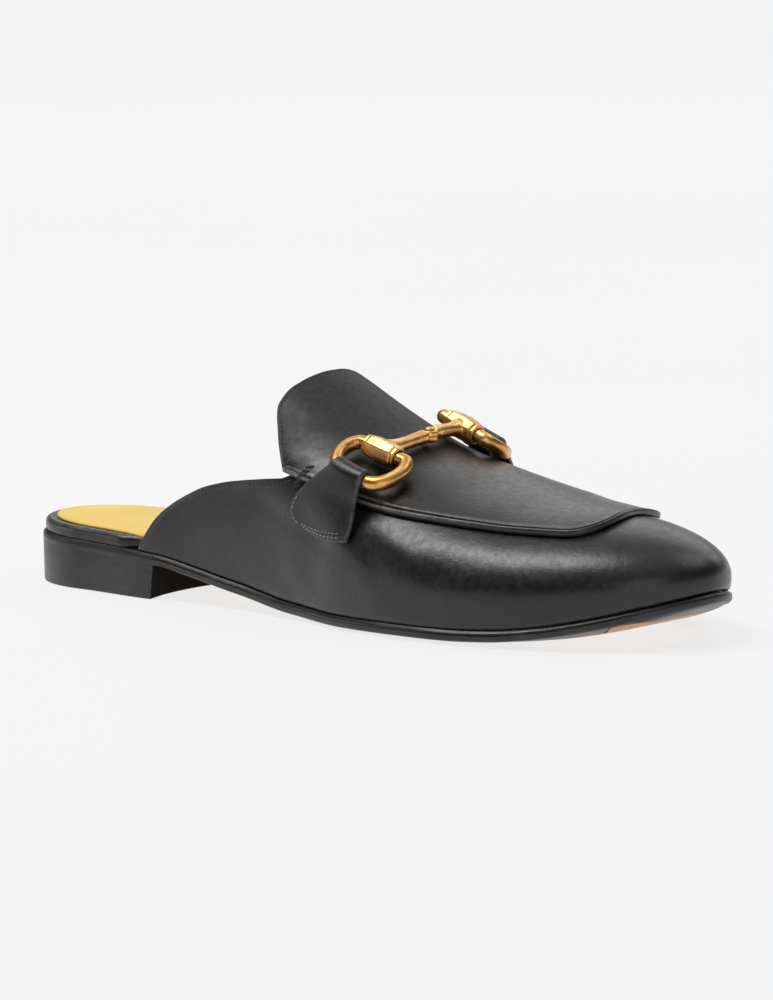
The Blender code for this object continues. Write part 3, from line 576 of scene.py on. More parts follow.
upper = {
    "wall": 1.8, "lipRadius": 0.8, "stitchLine": 1.9, "stitchDip": 0.16, "stitchWidth": 0.35, "threadRise": -0.12,
    "topline": [(64, 15.5), (68, 20.5), (76, 28.5), (87, 35), (101, 40.3), (116, 43), (130, 43.8), (142, 47.5)],
    "throatX": 150.0,
    "nearEdge": [0, 0.12, 0.3, 0.55, 0.85, 1.2, 1.5, 1.75, 2.0, 2.3, 2.7, 3.3, 4.2],
    "nearSole": [0, 0.25, 0.6, 1.1, 1.8, 2.8], "counts": (60, 46, 52, 44),
    "turnIn": 0.6, "turnInReach": 1.3, "edgeWear": (0.45, 0.8), "soleWear": (0.2, 0.7),  # wear as amount, reach
    "foldsFromEdge": (2, 12), "foldsFromSole": (1, 8),
    # side, s, share, s, share, half width, depth
    "folds": [(lateral, 176, 0.50, 190, 0.30, 5.0, 0.35), (lateral, 160, 0.42, 150, 0.12, 8.0, 0.5),
              (lateral, 186, 0.52, 204, 0.42, 4.0, -0.25), (lateral, 205, 0.36, 226, 0.5, 6.0, 0.22),
              (lateral, 120, 0.30, 140, 0.12, 9.0, 0.4), (medial, 178, 0.50, 192, 0.28, 5.0, 0.35),
              (medial, 158, 0.42, 150, 0.14, 8.0, 0.45), (medial, 206, 0.36, 228, 0.48, 6.0, 0.22)],
}
toplineHeight = smoothCurve(*zip(*upper["topline"]))


def toplineLine(side):
    x = np.linspace(upper["topline"][0][0], upper["topline"][-1][0], 120)
    share = shareAtHeight(x, toplineHeight(x), side)
    share[0] = 0.0
    return np.append(x, upper["throatX"]), np.append(share, 1.0)


grid = skinGrid(toplineLine, lambda s, side: 0.0, upper["nearSole"], upper["nearEdge"], upper["counts"])
fromTopline, fromSole = grid[2:]
lip = roundedLip(fromTopline, upper["lipRadius"], upper["wall"] / 2)
outside = lip - upper["stitchDip"] * hump(fromTopline, upper["stitchLine"], upper["stitchWidth"])
outside -= upper["turnIn"] * np.clip(1 - fromSole / upper["turnInReach"], 0, 1) ** 2
outside += (trough(grid, upper["folds"]) * easeBetween(fromTopline, *upper["foldsFromEdge"])
            * easeBetween(fromSole, *upper["foldsFromSole"]))
wearAndGlint = sum(amount * np.exp(-distance / reach) for distance, (amount, reach) in
           ((fromTopline, upper["edgeWear"]), (fromSole, upper["soleWear"])))
settle(skinPiece("upperSkin", grid, outside, -upper["wall"] - lip, wearAndGlint), "black_calf", "upper")
print("upper ready")


# Apron with its tongue, raised over the vamp

apron = {
    "thickness": 1.5, "lipRadius": 0.7, "lipDepth": 1.1, "bead": 0.95, "beadRise": 0.3, "beadWidth": 0.5,
    "groove": 1.8, "grooveDepth": 0.5, "grooveWidth": 0.3, "secondBead": 2.6, "secondRise": 0.15,
    "tongueRelief": 0.35, "reliefReach": (4, 22), "rearLip": 0.75, "rearLipDepths": (0.8, 0.7),
    "stitchLine": 1.5, "stitchDip": 0.15, "stitchWidth": 0.35, "threadRise": -0.1,
    "droop": 0.35, "droopReach": 9.0, "droopShares": (0.6, 0.85), "linedBefore": 147.0,
    "foldsFromRear": (2, 9), "foldsFromSide": (3, 8),
    # painted highlights on the two beads (amount, distance, width), less towards the toe, and rubbed light behind
    # (amount, reach)
    "firstBeadGlint": (1.0, 0.65, 0.3), "secondBeadGlint": (0.8, 2.6, 0.35), "rearWear": (0.35, 0.5),
    "toeGlint": 0.15, "toeGlintFrom": (190, 240),
    "toeReach": 13.0, "skew": 0.28, "taper": 0.22, "corner": 3.0,
    "edge": [(118, 0.50), (140, 0.52), (165, 0.56), (190, 0.61), (214, 0.66), (240, 0.70)],  # x, share of the girth
    "tongueEnd": [(0.50, 137), (0.60, 129.5), (0.70, 124.2), (0.75, 124.1), (0.82, 125.0), (0.90, 125.9),
                  (1.0, 126.5)],
    "nearSide": [0, 0.1, 0.25, 0.45, 0.7, 0.95, 1.2, 1.4, 1.6, 1.8, 2.0, 2.2, 2.4, 2.7, 3.1, 3.6, 4.4],
    "nearRear": [0, 0.1, 0.25, 0.45, 0.7, 1.0, 1.25, 1.5, 1.75, 2.0, 2.4, 3.0, 4.0], "counts": (34, 30, 52, 44),
    "folds": [(lateral, 131, 0.62, 142, 0.78, 3.0, 0.25), (lateral, 135, 0.58, 150, 0.70, 2.2, 0.2),
              (medial, 133, 0.62, 146, 0.76, 3.0, 0.22), (lateral, 196, 0.75, 206, 0.97, 7.0, 0.15)],
}
apronEdgeShare = smoothCurve(*zip(*apron["edge"]))
tongueEndX = smoothCurve(*zip(*apron["tongueEnd"]))


def shareAtRadius(s, radius, side):
    poleX = min(s, last["poleX"])
    centre = np.array([poleX, crestY(poleX)])
    return float(halved(last["wallShare"], 1.0, lambda share: np.linalg.norm(
        lastPoints(s, toU(share, side))[:2] - centre) > radius))


def apronShare(s, side):
    poleX, corner = last["poleX"], apron["corner"]
    if s <= poleX:
        return float(apronEdgeShare(s))
    half = abs(lastPoints(poleX, toU(apronEdgeShare(poleX), side))[1] - crestY(poleX))
    angle = math.pi / 2 * (1 - (s - poleX) / last["toeFan"])
    c = math.cos(angle) * (1 + side * apron["skew"] * math.sin(angle)) / apron["toeReach"]
    # the sides keep drawing together up to the corner
    h = (math.sin(angle) + apron["taper"] * math.cos(angle)) / half
    return shareAtRadius(s, (abs(c) ** corner + abs(h) ** corner) ** (-1 / corner), side)


def tongueLine(side):
    share = np.linspace(apron["tongueEnd"][0][0], 1, 90)
    return tongueEndX(share), share


def droopAt(fromRear, share):
    # the tongue's free end bends down a little
    return apron["droop"] * np.clip(1 - fromRear / apron["droopReach"], 0, 1) ** 2 * easeBetween(
        share, *apron["droopShares"])


grid = skinGrid(tongueLine, apronShare, apron["nearSide"], apron["nearRear"], apron["counts"])
fromRear, fromSide = grid[2:]
apronTop = sole["seamGap"] + apron["thickness"]
outerDepth, innerDepth = apron["rearLipDepths"]
sideEdge = roundedLip(fromSide, apron["lipRadius"], apron["lipDepth"])
sideEdge += apron["beadRise"] * hump(fromSide, apron["bead"], apron["beadWidth"])
sideEdge -= apron["grooveDepth"] * hump(fromSide, apron["groove"], apron["grooveWidth"])
sideEdge += apron["secondRise"] * hump(fromSide, apron["secondBead"], apron["beadWidth"])
sideEdge *= apron["tongueRelief"] + (1 - apron["tongueRelief"]) * easeBetween(fromRear, *apron["reliefReach"])
rearEdge = roundedLip(fromRear, apron["rearLip"], outerDepth)
rearEdge -= apron["stitchDip"] * hump(fromRear, apron["stitchLine"], apron["stitchWidth"])
edges = np.where(fromRear < fromSide, np.minimum(rearEdge, sideEdge), sideEdge + np.minimum(rearEdge, 0))
folds = (trough(grid, apron["folds"]) * easeBetween(fromRear, *apron["foldsFromRear"])
         * easeBetween(fromSide, *apron["foldsFromSide"]))
droop = droopAt(fromRear, 1 - np.abs(grid[1]))
inside = sole["seamGap"] - roundedLip(fromRear, apron["rearLip"], innerDepth) - droop
# painted highlight: pale lines along the two beads stand in for the glints on them, fewer toward the toe; behind, the
# rear edge is rubbed lighter
beadGlints = sum(amount * hump(fromSide, centre, width) for amount, centre, width in
            (apron["firstBeadGlint"], apron["secondBeadGlint"]))
beadGlints *= 1 - (1 - apron["toeGlint"]) * easeBetween(grid[0], *apron["toeGlintFrom"])
rearAmount, rearReach = apron["rearWear"]
wearAndGlint = np.where(fromRear < fromSide, rearAmount * np.exp(-fromRear / rearReach), beadGlints)
apronSkin = skinPiece("apronSkin", grid, apronTop + edges + folds - droop, inside, np.clip(wearAndGlint, 0, 1),
                      apron["linedBefore"])
settle(apronSkin, "black_calf", "apron_tongue")
print("apron ready")


# Plates of the bottom: outsole, heel, board and sock

def settingAt(setting, x):
    return setting(x) if callable(setting) else np.full_like(x, setting)


def plate(name, rings, length, counts, finishes, baseInset=0.0, bend=None, evenEnd=False, wearOf=None):
    # each ring is an inset, a surface and a rise over it; they run from the underside's rim round the edge
    # to the top's rim, and only the underside takes the first finish
    rows, columns = counts[0] + 1, counts[1] + 1
    t = np.arange(rows) / counts[0]
    t = 1 - np.cos(math.pi / 2 * t) if evenEnd else (1 - np.cos(math.pi * t)) / 2
    share = (1 - np.cos(math.pi * np.arange(columns) / counts[1])) / 2
    points = []
    for inset, surface, rise in rings:
        def insetAt(x):
            return settingAt(baseInset, x) + settingAt(inset, x)

        first, final = float(insetAt(np.array(0.0))), float(insetAt(np.array(length)))
        x = first + (length - first - final) * t
        edge, other = soleEdge(x, lateral, insetAt(x)), soleEdge(x, medial, insetAt(x))
        y = edge[:, None] + (other - edge)[:, None] * share
        x = np.repeat(x[:, None], columns, axis=1)
        z = surface(x, y) + settingAt(rise, x)
        points.append(np.stack([bend(x, y, z) if bend else x, y, z], -1).reshape(-1, 3))
    index = np.arange(len(rings) * rows * columns).reshape(-1, rows, columns)
    faces = gridFaces(rows, columns, flip=True)
    underside = len(faces)
    for low, high in zip(index, index[1:]):
        for edge in (firstColumn, lastColumn, firstRow, lastRow):
            faces += stripFaces(low[edge], high[edge])
    faces += gridFaces(rows, columns, int(index[-1, 0, 0]))
    finishOf = [0] * underside + [len(finishes) - 1] * (len(faces) - underside)
    wearAndGlint = np.repeat(wearOf or [0.0] * len(rings), rows * columns)
    return buildMesh(name, np.concatenate(points), faces, finishes, finishOf, wearAndGlint)


outsole = {"beadDepth": 0.16, "inkMargin": 9.0, "inkNarrow": 1.4, "narrow": (260, 268), "toeMargin": 13.0,
           "toeWide": (269, 287), "counts": (170, 40)}
# the edge is cut square over the heel and rounded in front of it
behindHeel = lambda x: easeBetween(x, 71, 77)


def inkMargin(x):
    # the black ink reaches in under the edge, least where the ball of the foot rolls off
    front = outsole["inkNarrow"] + (outsole["toeMargin"] - outsole["inkNarrow"]) * easeBetween(x, *outsole["toeWide"])
    return outsole["inkMargin"] + (front - outsole["inkMargin"]) * easeBetween(x, *outsole["narrow"])


rings = [
    (lambda x: 0.05 + inkMargin(x) * behindHeel(x), soleUnderside, 0.0),
    (lambda x: 0.02 + behindHeel(x), soleUnderside, 0.0),
    (lambda x: 0.01 + 0.4 * behindHeel(x), soleUnderside, lambda x: 0.02 + 0.12 * behindHeel(x)),
    (lambda x: 0.08 * behindHeel(x), soleUnderside, lambda x: 0.05 + 0.4 * behindHeel(x)),
    (0.0, soleUnderside, 1.0), (0.0, soleTop, -1.25), (outsole["beadDepth"], soleTop, -1.1), (0.0, soleTop, -0.95),
    (0.1, soleTop, -0.55), (0.34, soleTop, -0.2), (0.95, soleTop, sole["seamGap"] - 0.03),
]
settle(plate("outsolePlate", rings, sole["length"], outsole["counts"], [soleLeather, edgeInk]),
       "natural_sole", "outsole")

heel = {"rollStart": 9.0, "roll": 1.5, "slant": 1.5, "hollow": 6.0, "frontFacing": 0.6, "counts": (90, 36)}


def heelBend(x, y, z):
    # hollows and slants the heel's front face
    share = (y - soleMiddle(x)) / soleHalfWidth(sole["heelLength"])
    back = (x / sole["heelLength"]) ** 4
    x = x - heel["hollow"] * np.maximum(0.0, 1 - share * share) * back
    return x - heel["slant"] * back * (1 - z / soleMiddleUnderside(sole["heelLength"]))


heelFloor = lambda x, y: heel["roll"] * np.maximum(0.0, 1 - x / heel["rollStart"]) ** 2
rings = [
    (0.7, heelFloor, 0.0), (0.2, heelFloor, 0.12), (0.03, heelFloor, 0.4), (0.0, heelFloor, 0.9),
    (0.0, lambda x, y: heelFloor(x, y) / 2, 5.0), (0.0, soleUnderside, -0.25), (0.03, soleUnderside, -0.04),
]
piece = plate("heelBlock", rings, sole["heelLength"], heel["counts"], [edgeInk, breastInk], bend=heelBend,
              evenEnd=True)
for face in piece.data.polygons:
    face.material_index = int(face.normal.x > heel["frontFacing"])  # the front face of the heel is left matt
settle(piece, "black_edge", "heel")

board = {
    # x, thickness, inset from the sole's edge
    "rows": [(0, 3.9, 0.9), (56, 3.9, 0.9), (61, 3.9, 3.7), (110, 3.7, 3.7), (150, 3.2, 3.4), (287, 3.0, 3.4)],
    "rollHeight": 0.35, "counts": (150, 30), "wearAndGlint": [0, 0, 0, 0, 0.05, 0.25, 0.35, 0.2, 0.05, 0],
}
boardThickness, boardInset = curvesOf(board["rows"])
boardUnderside = lambda x, y: soleTop(x, y) + sole["seamGap"]
boardTop = lambda x, y: boardUnderside(x, y) + boardThickness(x)
rings = [
    (0.7, boardUnderside, 0.0), (0.15, boardUnderside, 0.25), (0.0, boardUnderside, 0.9), (0.0, boardTop, -1.5),
    (0.12, boardTop, -0.9), (0.45, boardTop, -0.35), (1.0, boardTop, 0.1), (1.8, boardTop, board["rollHeight"]),
    (2.5, boardTop, 0.25), (3.1, boardTop, 0.0),
]
piece = plate("footbedBoard", rings, sole["length"], board["counts"], [calf], boardInset, wearOf=board["wearAndGlint"])
settle(piece, "black_calf", "insole_board")

sockLining = {"inset": 4.5, "thickness": 1.0, "counts": (140, 40)}
sockUnderside = lambda x, y: boardTop(x, y) + sole["seamGap"]
sockTop = lambda x, y: sockUnderside(x, y) + sockLining["thickness"]
rings = [
    (0.1, sockUnderside, -0.4), (0.0, sockTop, -0.9), (0.25, sockTop, -0.55), (0.7, sockTop, -0.4),
    (2.0, sockTop, -0.35),
]
settle(plate("sockLining", rings, sole["length"], sockLining["counts"], [sock], sockLining["inset"]),
       "yellow_sock", "sock_lining")
print("bottom ready")


# Bit: two rings, and a shaft with a barrel on each

bit = {
    "tube": 2.3, "barrel": 4.1, "barrelLength": 13.2, "bore": 2.65, "voxel": 0.24, "ridge": 0.06,
    "softening": (0.5, 20), "crease": 50,  # factor and rounds; degrees past which an edge stays sharp
    "ring": [(-9.5, 3.2), (-7.3, 6.8), (-3.0, 8.2), (5.6, 8.2), (10.2, 6.6), (13.0, 2.6), (14.2, -2.4), (12.6, -6.4),
             (9.4, -6.6), (-4.6, -6.2), (-8.0, -4.6), (-9.8, -0.8)],
    "straight": ((9.4, -6.6), (-4.6, -6.2)),  # the ring's side that carries the barrel
    "rivet": (171.55, -3.2), "rivetHead": 1.7, "jointDrop": 2.2, "footHeight": 1.9, "eyeHeight": 1.8, "gap": 0.3,
    "halves": {lateral: {"ring": (168.7, -30.8, 52.9), "tilt": 29.0, "slope": 17.7, "end": (171.4, -5.0, 58.0)},
               medial: {"ring": (168.7, 19.5, 56.75), "tilt": 28.0, "slope": 20.5, "end": (171.4, -1.2, 58.9)}},
    # shares of the barrel's length and of its radius; shares of the way to the joint and the shaft's radius
    "barrelRows": [(-0.5, 0.84), (-0.485, 0.9), (-0.45, 0.9), (-0.43, 0.84), (-0.41, 0.84), (-0.38, 0.96),
                   (-0.2, 1.03), (0.0, 1.05), (0.2, 1.03), (0.38, 0.96), (0.41, 0.84), (0.43, 0.84), (0.45, 0.9),
                   (0.485, 0.9), (0.5, 0.84)],
    "shaftRows": [(0.02, 3.6), (0.08, 3.5), (0.15, 3.25), (0.22, 2.9), (0.3, 2.6), (0.42, 2.35), (0.56, 2.25),
                  (0.7, 2.3), (0.82, 2.4), (0.9, 2.5), (0.95, 2.4), (1.0, 1.9)],
    "barrelTurn": (0.175, -0.9, 0.4),
    # shares of the way to the joint and radii; millimetres along a collar and shares of its radius
    "collars": ((0.3, 2.75), (0.4, 2.45)),
    "collarRows": [(-0.8, 0.75), (-0.45, 0.95), (0, 1.0), (0.45, 0.95), (0.8, 0.75)],
}


def ringAxes(side):
    tilt, slope = (math.radians(bit["halves"][side][name]) for name in ("tilt", "slope"))
    return (np.array([math.cos(slope), 0.0, -math.sin(slope)]),
            np.array([0.0, side * math.cos(tilt), -math.sin(tilt)]))


def onRing(side, p, q):
    axisP, axisQ = ringAxes(side)
    p, q = np.asarray(p, float)[..., None], np.asarray(q, float)[..., None]
    return np.array(bit["halves"][side]["ring"]) + axisP * p + axisQ * q


ringLine = splineThrough(bit["ring"], 12, closed=True)


def buildRing(side):
    # a soft ridge runs round the outer face of the casting
    points, faces = tubePart(onRing(side, *ringLine.T), bit["tube"], np.cross(*ringAxes(side)), facets=28, closed=True,
                             outline=lambda turn: 1 + bit["ridge"] * np.cos(turn + 0.5) ** 12 - bit["ridge"] / 3)
    return buildMesh(f"bitRing_{sideName[side]}", points, faces, [brass], sharpAngle=60)


def barrelFrame(side):
    front, rear = (onRing(side, *end) for end in bit["straight"])
    return (front + rear) / 2, unit(front - rear), np.array(bit["halves"][side]["end"])


def armParts(side):
    # a faceted barrel with a neck at each end, and a shaft that flares out of it
    middle, along, end = barrelFrame(side)
    steps, swell = np.array(bit["barrelRows"]).T
    shares, radii = np.array(bit["shaftRows"]).T
    barrel = tubePart(middle + along * bit["barrelLength"] * steps[:, None], bit["barrel"] * swell,
                      bit["barrelTurn"], facets=7)
    return [barrel, tubePart(middle + (end - middle) * shares[:, None], radii, (0, 0, 1), facets=10)]


def boreOf(side):
    middle, along, _ = barrelFrame(side)
    reach = along * bit["barrelLength"]
    return tubePart([middle - reach, middle + reach], bit["bore"], (0, 0, 1), facets=32)


def upright(*levels):
    # round post on the rivet's line, from heights and radii
    return tubePart([(*bit["rivet"], height) for height, _ in levels], [radius for _, radius in levels], (1, 0, 0))


def combine(made, operation, part):
    other = buildMesh("other", *part, [brass])
    step = made.modifiers.new("combine", "BOOLEAN")
    step.operation, step.solver, step.object = operation, "EXACT", other
    applyModifiers(made)
    bpy.data.objects.remove(other, do_unlink=True)


def castPiece(name, parts, cutters):
    # the parts melt into one casting with small fillets, then the holes are cut
    made = buildMesh(name, *joinParts(parts), [brass])
    melt = made.modifiers.new("melt", "REMESH")
    melt.mode, melt.voxel_size, melt.use_smooth_shade = "VOXEL", bit["voxel"] * mm, True
    soften = made.modifiers.new("soften", "SMOOTH")
    soften.factor, soften.iterations = bit["softening"]
    applyModifiers(made)
    for cutter in cutters:
        combine(made, "DIFFERENCE", cutter)
    made.data.materials.clear()
    made.data.materials.append(brass)
    made.data.shade_smooth()
    made.data.set_sharp_from_angle(angle=math.radians(bit["crease"]))
    return made


for side in bothSides:
    settle(buildRing(side), "antique_brass", f"bit_ring_{sideName[side]}")

# heights of the joint, from the foot up to the rivet's head
low = bit["halves"][lateral]["end"][2] - bit["jointDrop"]
footTop = low + bit["footHeight"]
eyeFloor = footTop + bit["gap"]
eyeTop = eyeFloor + bit["eyeHeight"]
headFloor = eyeTop + 0.15
foot = upright((low - 0.1, 1.5), (low + 0.2, 2.2), (low + 0.6, 2.65), (footTop - 0.3, 2.7), (footTop + 0.4, 2.7))
room = upright((footTop, 3.1), (eyeTop + 3, 3.1))
rivet = upright((low + 1.0, 1.2), (headFloor, 1.2), (headFloor, bit["rivetHead"] - 0.1),
                (headFloor + 0.2, bit["rivetHead"]), (headFloor + 0.6, 1.5), (headFloor + 0.85, 0.9),
                (headFloor + 0.92, 0.3))
piece = castPiece("bitBar_lateral", armParts(lateral) + [foot], [boreOf(lateral)])
combine(piece, "DIFFERENCE", room)
combine(piece, "UNION", rivet)
settle(piece, "antique_brass", "bit_bar_lateral")

middle, _, end = barrelFrame(medial)
collarSteps, collarSwell = np.array(bit["collarRows"]).T
collars = [tubePart(middle + (end - middle) * share + unit(end - middle) * collarSteps[:, None], collarSwell * radius,
                    (0, 0, 1), facets=20) for share, radius in bit["collars"]]
eye = upright((eyeFloor - 0.4, 2.8), (eyeTop - 0.5, 2.8), (eyeTop, 2.35))
hole, socket = upright((low, 1.5), (eyeTop + 3, 1.5)), upright((low - 4, 3.0), (eyeFloor, 3.0))
settle(castPiece("bitBar_medial", armParts(medial) + collars + [eye], [boreOf(medial), hole, socket]),
       "antique_brass", "bit_bar_medial")
print("bit ready")


# Straps that hold the rings

strap = {
    "thickness": 1.3, "sag": 1.6, "wrap": (33.0, 258.0), "onRing": (-6.4, 6.2), "lip": 0.55, "ringGap": 0.35,
    # rear x, rear z, front x, front z, gap under it
    "rows": [(149.6, 31.8, 172.6, 28.2, 0.4), (145.6, 34.9, 173.6, 31.4, 1.2), (147.0, 39.1, 173.8, 34.4, 2.4),
             (152.0, 42.6, 173.6, 37.2, 4.6), (154.6, 44.8, 173.4, 39.4, 5.6)],
    "rowCount": {lateral: 4, medial: 5},
    "edgeSteps": [0, 0.006, 0.014, 0.026, 0.045, 0.07, 0.1],
    "nearEnd": [0, 0.1, 0.25, 0.45, 0.7, 1.0, 1.3, 1.6, 2.0, 2.5, 3.0, 3.5],
    "across": 26, "along": 70, "roundRing": 10,  # counts of points
    "stitchRows": (1.3, 2.5), "stitchSide": 1.4, "stitchDip": 0.1, "stitchSwell": 0.15, "threadRise": 0.05,
    "sideWear": (0.45, 0.5),  # amount, reach
}
outsideOfRing = ringLine[ringLine[:, 1] > 0]
outsideOfRing = outsideOfRing[np.argsort(outsideOfRing[:, 0])]


def outerSide(side, p):
    return onRing(side, p, np.interp(p, *outsideOfRing.T))


def strapKeys(side, t):
    # inner line of the strap at a share t of its width, from the lower edge up and round the ring
    inner, outward = [], []
    for k, (rearX, rearZ, frontX, frontZ, gap) in enumerate(strap["rows"][:strap["rowCount"][side]]):
        x = np.array(rearX + (frontX - rearX) * t)
        z = rearZ + (frontZ - rearZ) * t - (0 if k else strap["sag"] * 4 * t * (1 - t))
        u = toU(shareAtHeight(x, z, side), side)
        inner.append(onLast(x, u, gap))
        outward.append(lastNormals(x, u))
    start, finish = strap["onRing"]
    at = start + (finish - start) * t
    centre = outerSide(side, at)
    alongRing = unit(outerSide(side, at + 0.3) - centre)
    p, q = ringAxes(side)
    up = unit(np.cross(p, q))
    up = up * np.sign(up[2])
    out = q - alongRing * (q @ alongRing)
    out = unit(out - up * (out @ up))
    for angle in np.radians(np.linspace(*strap["wrap"], strap["roundRing"])):
        ray = math.cos(angle) * out + math.sin(angle) * up
        inner.append(centre + ray * (bit["tube"] + strap["ringGap"]))
        outward.append(ray)
    return splineThrough(inner, 7), splineThrough(unit(outward), 7)


def buildStrap(side):
    edgeSteps, nearEnd = np.array(strap["edgeSteps"]), np.array(strap["nearEnd"])
    lines, rays, ends = [], [], []
    for t in np.concatenate([edgeSteps, np.linspace(0.14, 0.86, strap["across"]), 1 - edgeSteps[::-1]]):
        line, ray = strapKeys(side, t)
        run = runAlong(line)
        at = np.concatenate([nearEnd, np.linspace(nearEnd[-1], run[-1], strap["along"])[1:]])
        ray = unit(ray)
        lines.append(np.stack([np.interp(at, run, line[:, k]) for k in range(3)], -1))
        rays.append(np.stack([np.interp(at, run, ray[:, k]) for k in range(3)], -1))
        ends.append(at)
    inner, outward = np.array(lines), unit(np.array(rays))
    fromRearSide = runAlong(inner)
    fromEnd = np.repeat(ends[0][None], len(inner), axis=0)
    nearest = np.minimum(np.minimum(fromRearSide, fromRearSide[-1] - fromRearSide), fromEnd)
    lift = strap["thickness"] + roundedLip(nearest, strap["lip"], strap["lip"])
    for distance in strap["stitchRows"]:
        lift -= strap["stitchDip"] * hump(fromEnd, distance, 0.25)
    lift += strap["stitchSwell"] * hump(fromEnd, sum(strap["stitchRows"]) / 2, 0.45)
    outer = inner + outward * lift[..., None]
    points, top, under, rims = closedSkin(outer, inner, (firstRow, lastRow, firstColumn, lastColumn))
    amount, reach = strap["sideWear"]
    wearAndGlint = np.tile(amount * np.exp(-nearest / reach).ravel(), 2)
    made = buildMesh(f"strap_{sideName[side]}", points, top + under + sum(rims, []), [calf], wearAndGlint=wearAndGlint, sharpAngle=60)
    settle(made, "black_calf", f"tab_{sideName[side]}")
    # lines for the stitching, just on the surface: two along the lower end and one up the rear side
    surface = outer + outward * strap["threadRise"]
    columns = [int(np.argmin(np.abs(fromEnd[0] - distance))) for distance in strap["stitchRows"]]
    row = int(np.argmin(np.abs(fromRearSide[:, 20] - strap["stitchSide"])))
    return [surface[8:-8, column] for column in columns] + [surface[row, 8:26]]


strapLines = buildStrap(lateral) + buildStrap(medial)
print("straps ready")


# Stitching, laid along lines by one node tree

stitching = {
    "pitch": 1.7, "length": 1.45, "thickness": 0.36, "seed": 7,
    "least": (0.94, 0.92, 0.92), "most": (1.05, 1.08, 1.08),  # how far a stitch's length and thickness stray
    # tack where the quarter meets the tongue: foot, reach, turns as (shift, start), share and rise along each turn
    "tackFoot": (143.6, 43.0), "tackReach": (3.8, 5.4),
    "tackTurns": ((-0.9, 0.0), (-0.45, 0.2), (0.0, 0.05), (0.45, 0.25), (0.9, 0.1)),
    "tackRise": ((0.0, 0.5), (0.3, 1.7), (0.5, 2.4), (1.0, 2.2)),
}


def stitchTree():
    tree = bpy.data.node_groups.new("stitchRun", "GeometryNodeTree")
    sockets = {"Geometry": "Geometry", "Pitch": "Float", "Length": "Float", "Thickness": "Float", "Seed": "Int",
               "Finish": "Material"}
    for name, kind in sockets.items():
        tree.interface.new_socket(name=name, in_out="INPUT", socket_type="NodeSocket" + kind)
    tree.interface.new_socket(name="Geometry", in_out="OUTPUT", socket_type="NodeSocketGeometry")
    given = {name: addNode(tree, "NodeGroupInput", out=name) for name in sockets}
    line = addNode(tree, "GeometryNodeResampleCurve", {"Curve": given["Geometry"], "Length": given["Pitch"]},
                   mode="LENGTH")
    half = addNode(tree, "ShaderNodeMath", (given["Length"], 0.5), operation="MULTIPLY")
    thin = addNode(tree, "ShaderNodeMath", (given["Thickness"], 0.5), operation="MULTIPLY")
    size = addNode(tree, "ShaderNodeCombineXYZ", (half, thin, thin))
    ball = addNode(tree, "GeometryNodeMeshUVSphere", {"Segments": 8, "Rings": 6, "Radius": 1.0})
    stitch = addNode(tree, "GeometryNodeTransform", {"Geometry": ball, "Scale": size})
    tangent = addNode(tree, "GeometryNodeInputTangent")
    turned = addNode(tree, "FunctionNodeAlignRotationToVector", {"Vector": tangent}, axis="X")
    stray = addNode(tree, "FunctionNodeRandomValue", {"Min": stitching["least"], "Max": stitching["most"],
                                                      "Seed": given["Seed"]}, data_type="FLOAT_VECTOR")
    placed = addNode(tree, "GeometryNodeInstanceOnPoints", {"Points": line, "Instance": stitch, "Rotation": turned,
                                                            "Scale": stray})
    real = addNode(tree, "GeometryNodeRealizeInstances", {"Geometry": placed})
    done = addNode(tree, "GeometryNodeSetMaterial", {"Geometry": real, "Material": given["Finish"]})
    addNode(tree, "NodeGroupOutput", {"Geometry": done})
    return tree


stitches = stitchTree()


def sewn(name, lines, finish):
    curve = bpy.data.curves.new(name, "CURVE")
    curve.dimensions = "3D"
    for line in lines:
        spline = curve.splines.new("POLY")
        spline.points.add(len(line) - 1)
        spline.points.foreach_set("co", np.concatenate([toMetres(line), np.ones((len(line), 1))], axis=1).ravel())
    guide = addObject(name + "Guide", curve)
    run = guide.modifiers.new("stitchRun", "NODES")
    run.node_group = stitches
    values = {"Pitch": stitching["pitch"] * mm, "Length": stitching["length"] * mm,
              "Thickness": stitching["thickness"] * mm, "Seed": stitching["seed"], "Finish": finish}
    for item in stitches.interface.items_tree:
        if item.in_out == "INPUT" and item.name in values:
            run[item.identifier] = values[item.name]
    mesh = evaluatedMesh(guide)
    bpy.data.objects.remove(guide, do_unlink=True)
    mesh.name = name
    mesh.shade_smooth()
    settle(addObject(name, mesh), "black_calf")


def besideEdge(line, side, inward, riseAt):
    x, share = line(side)
    points, normal = lastPoints(x, toU(share, side)), lastNormals(x, toU(share, side))
    into = unit(np.cross(normal, np.gradient(points, axis=0)))
    into *= np.sign(into[:, :1])  # always toward the toe
    return points + into * inward + normal * riseAt(share)[:, None]


def besideTongue(side):
    return besideEdge(tongueLine, side, apron["stitchLine"],
                      lambda share: apronTop + apron["threadRise"] - droopAt(apron["stitchLine"], share))[6:]


def barTack(side):
    # turns of thread, staggered so that they cover the corner
    turns = []
    for shift, start in stitching["tackTurns"]:
        share = np.linspace(start, 1.0, 6)
        x, z = (foot + reach * share for foot, reach in zip(stitching["tackFoot"], stitching["tackReach"]))
        u = toU(shareAtHeight(x + shift, z, side), side)
        turns.append(onLast(x + shift, u, np.interp(share, *zip(*stitching["tackRise"]))))
    return turns


sewn("barTacks", barTack(lateral) + barTack(medial), thread)
sewn("toplineStitches", [besideEdge(toplineLine, side, upper["stitchLine"],
                                    lambda share: np.full_like(share, upper["threadRise"]))[4:-6]
                         for side in bothSides], thread)
sewn("tongueStitches", [np.concatenate([besideTongue(lateral), besideTongue(medial)[::-1][1:]])], thread)
sewn("strapStitches", strapLines, paleThread)
print("stitching ready")


# Floor, light and camera

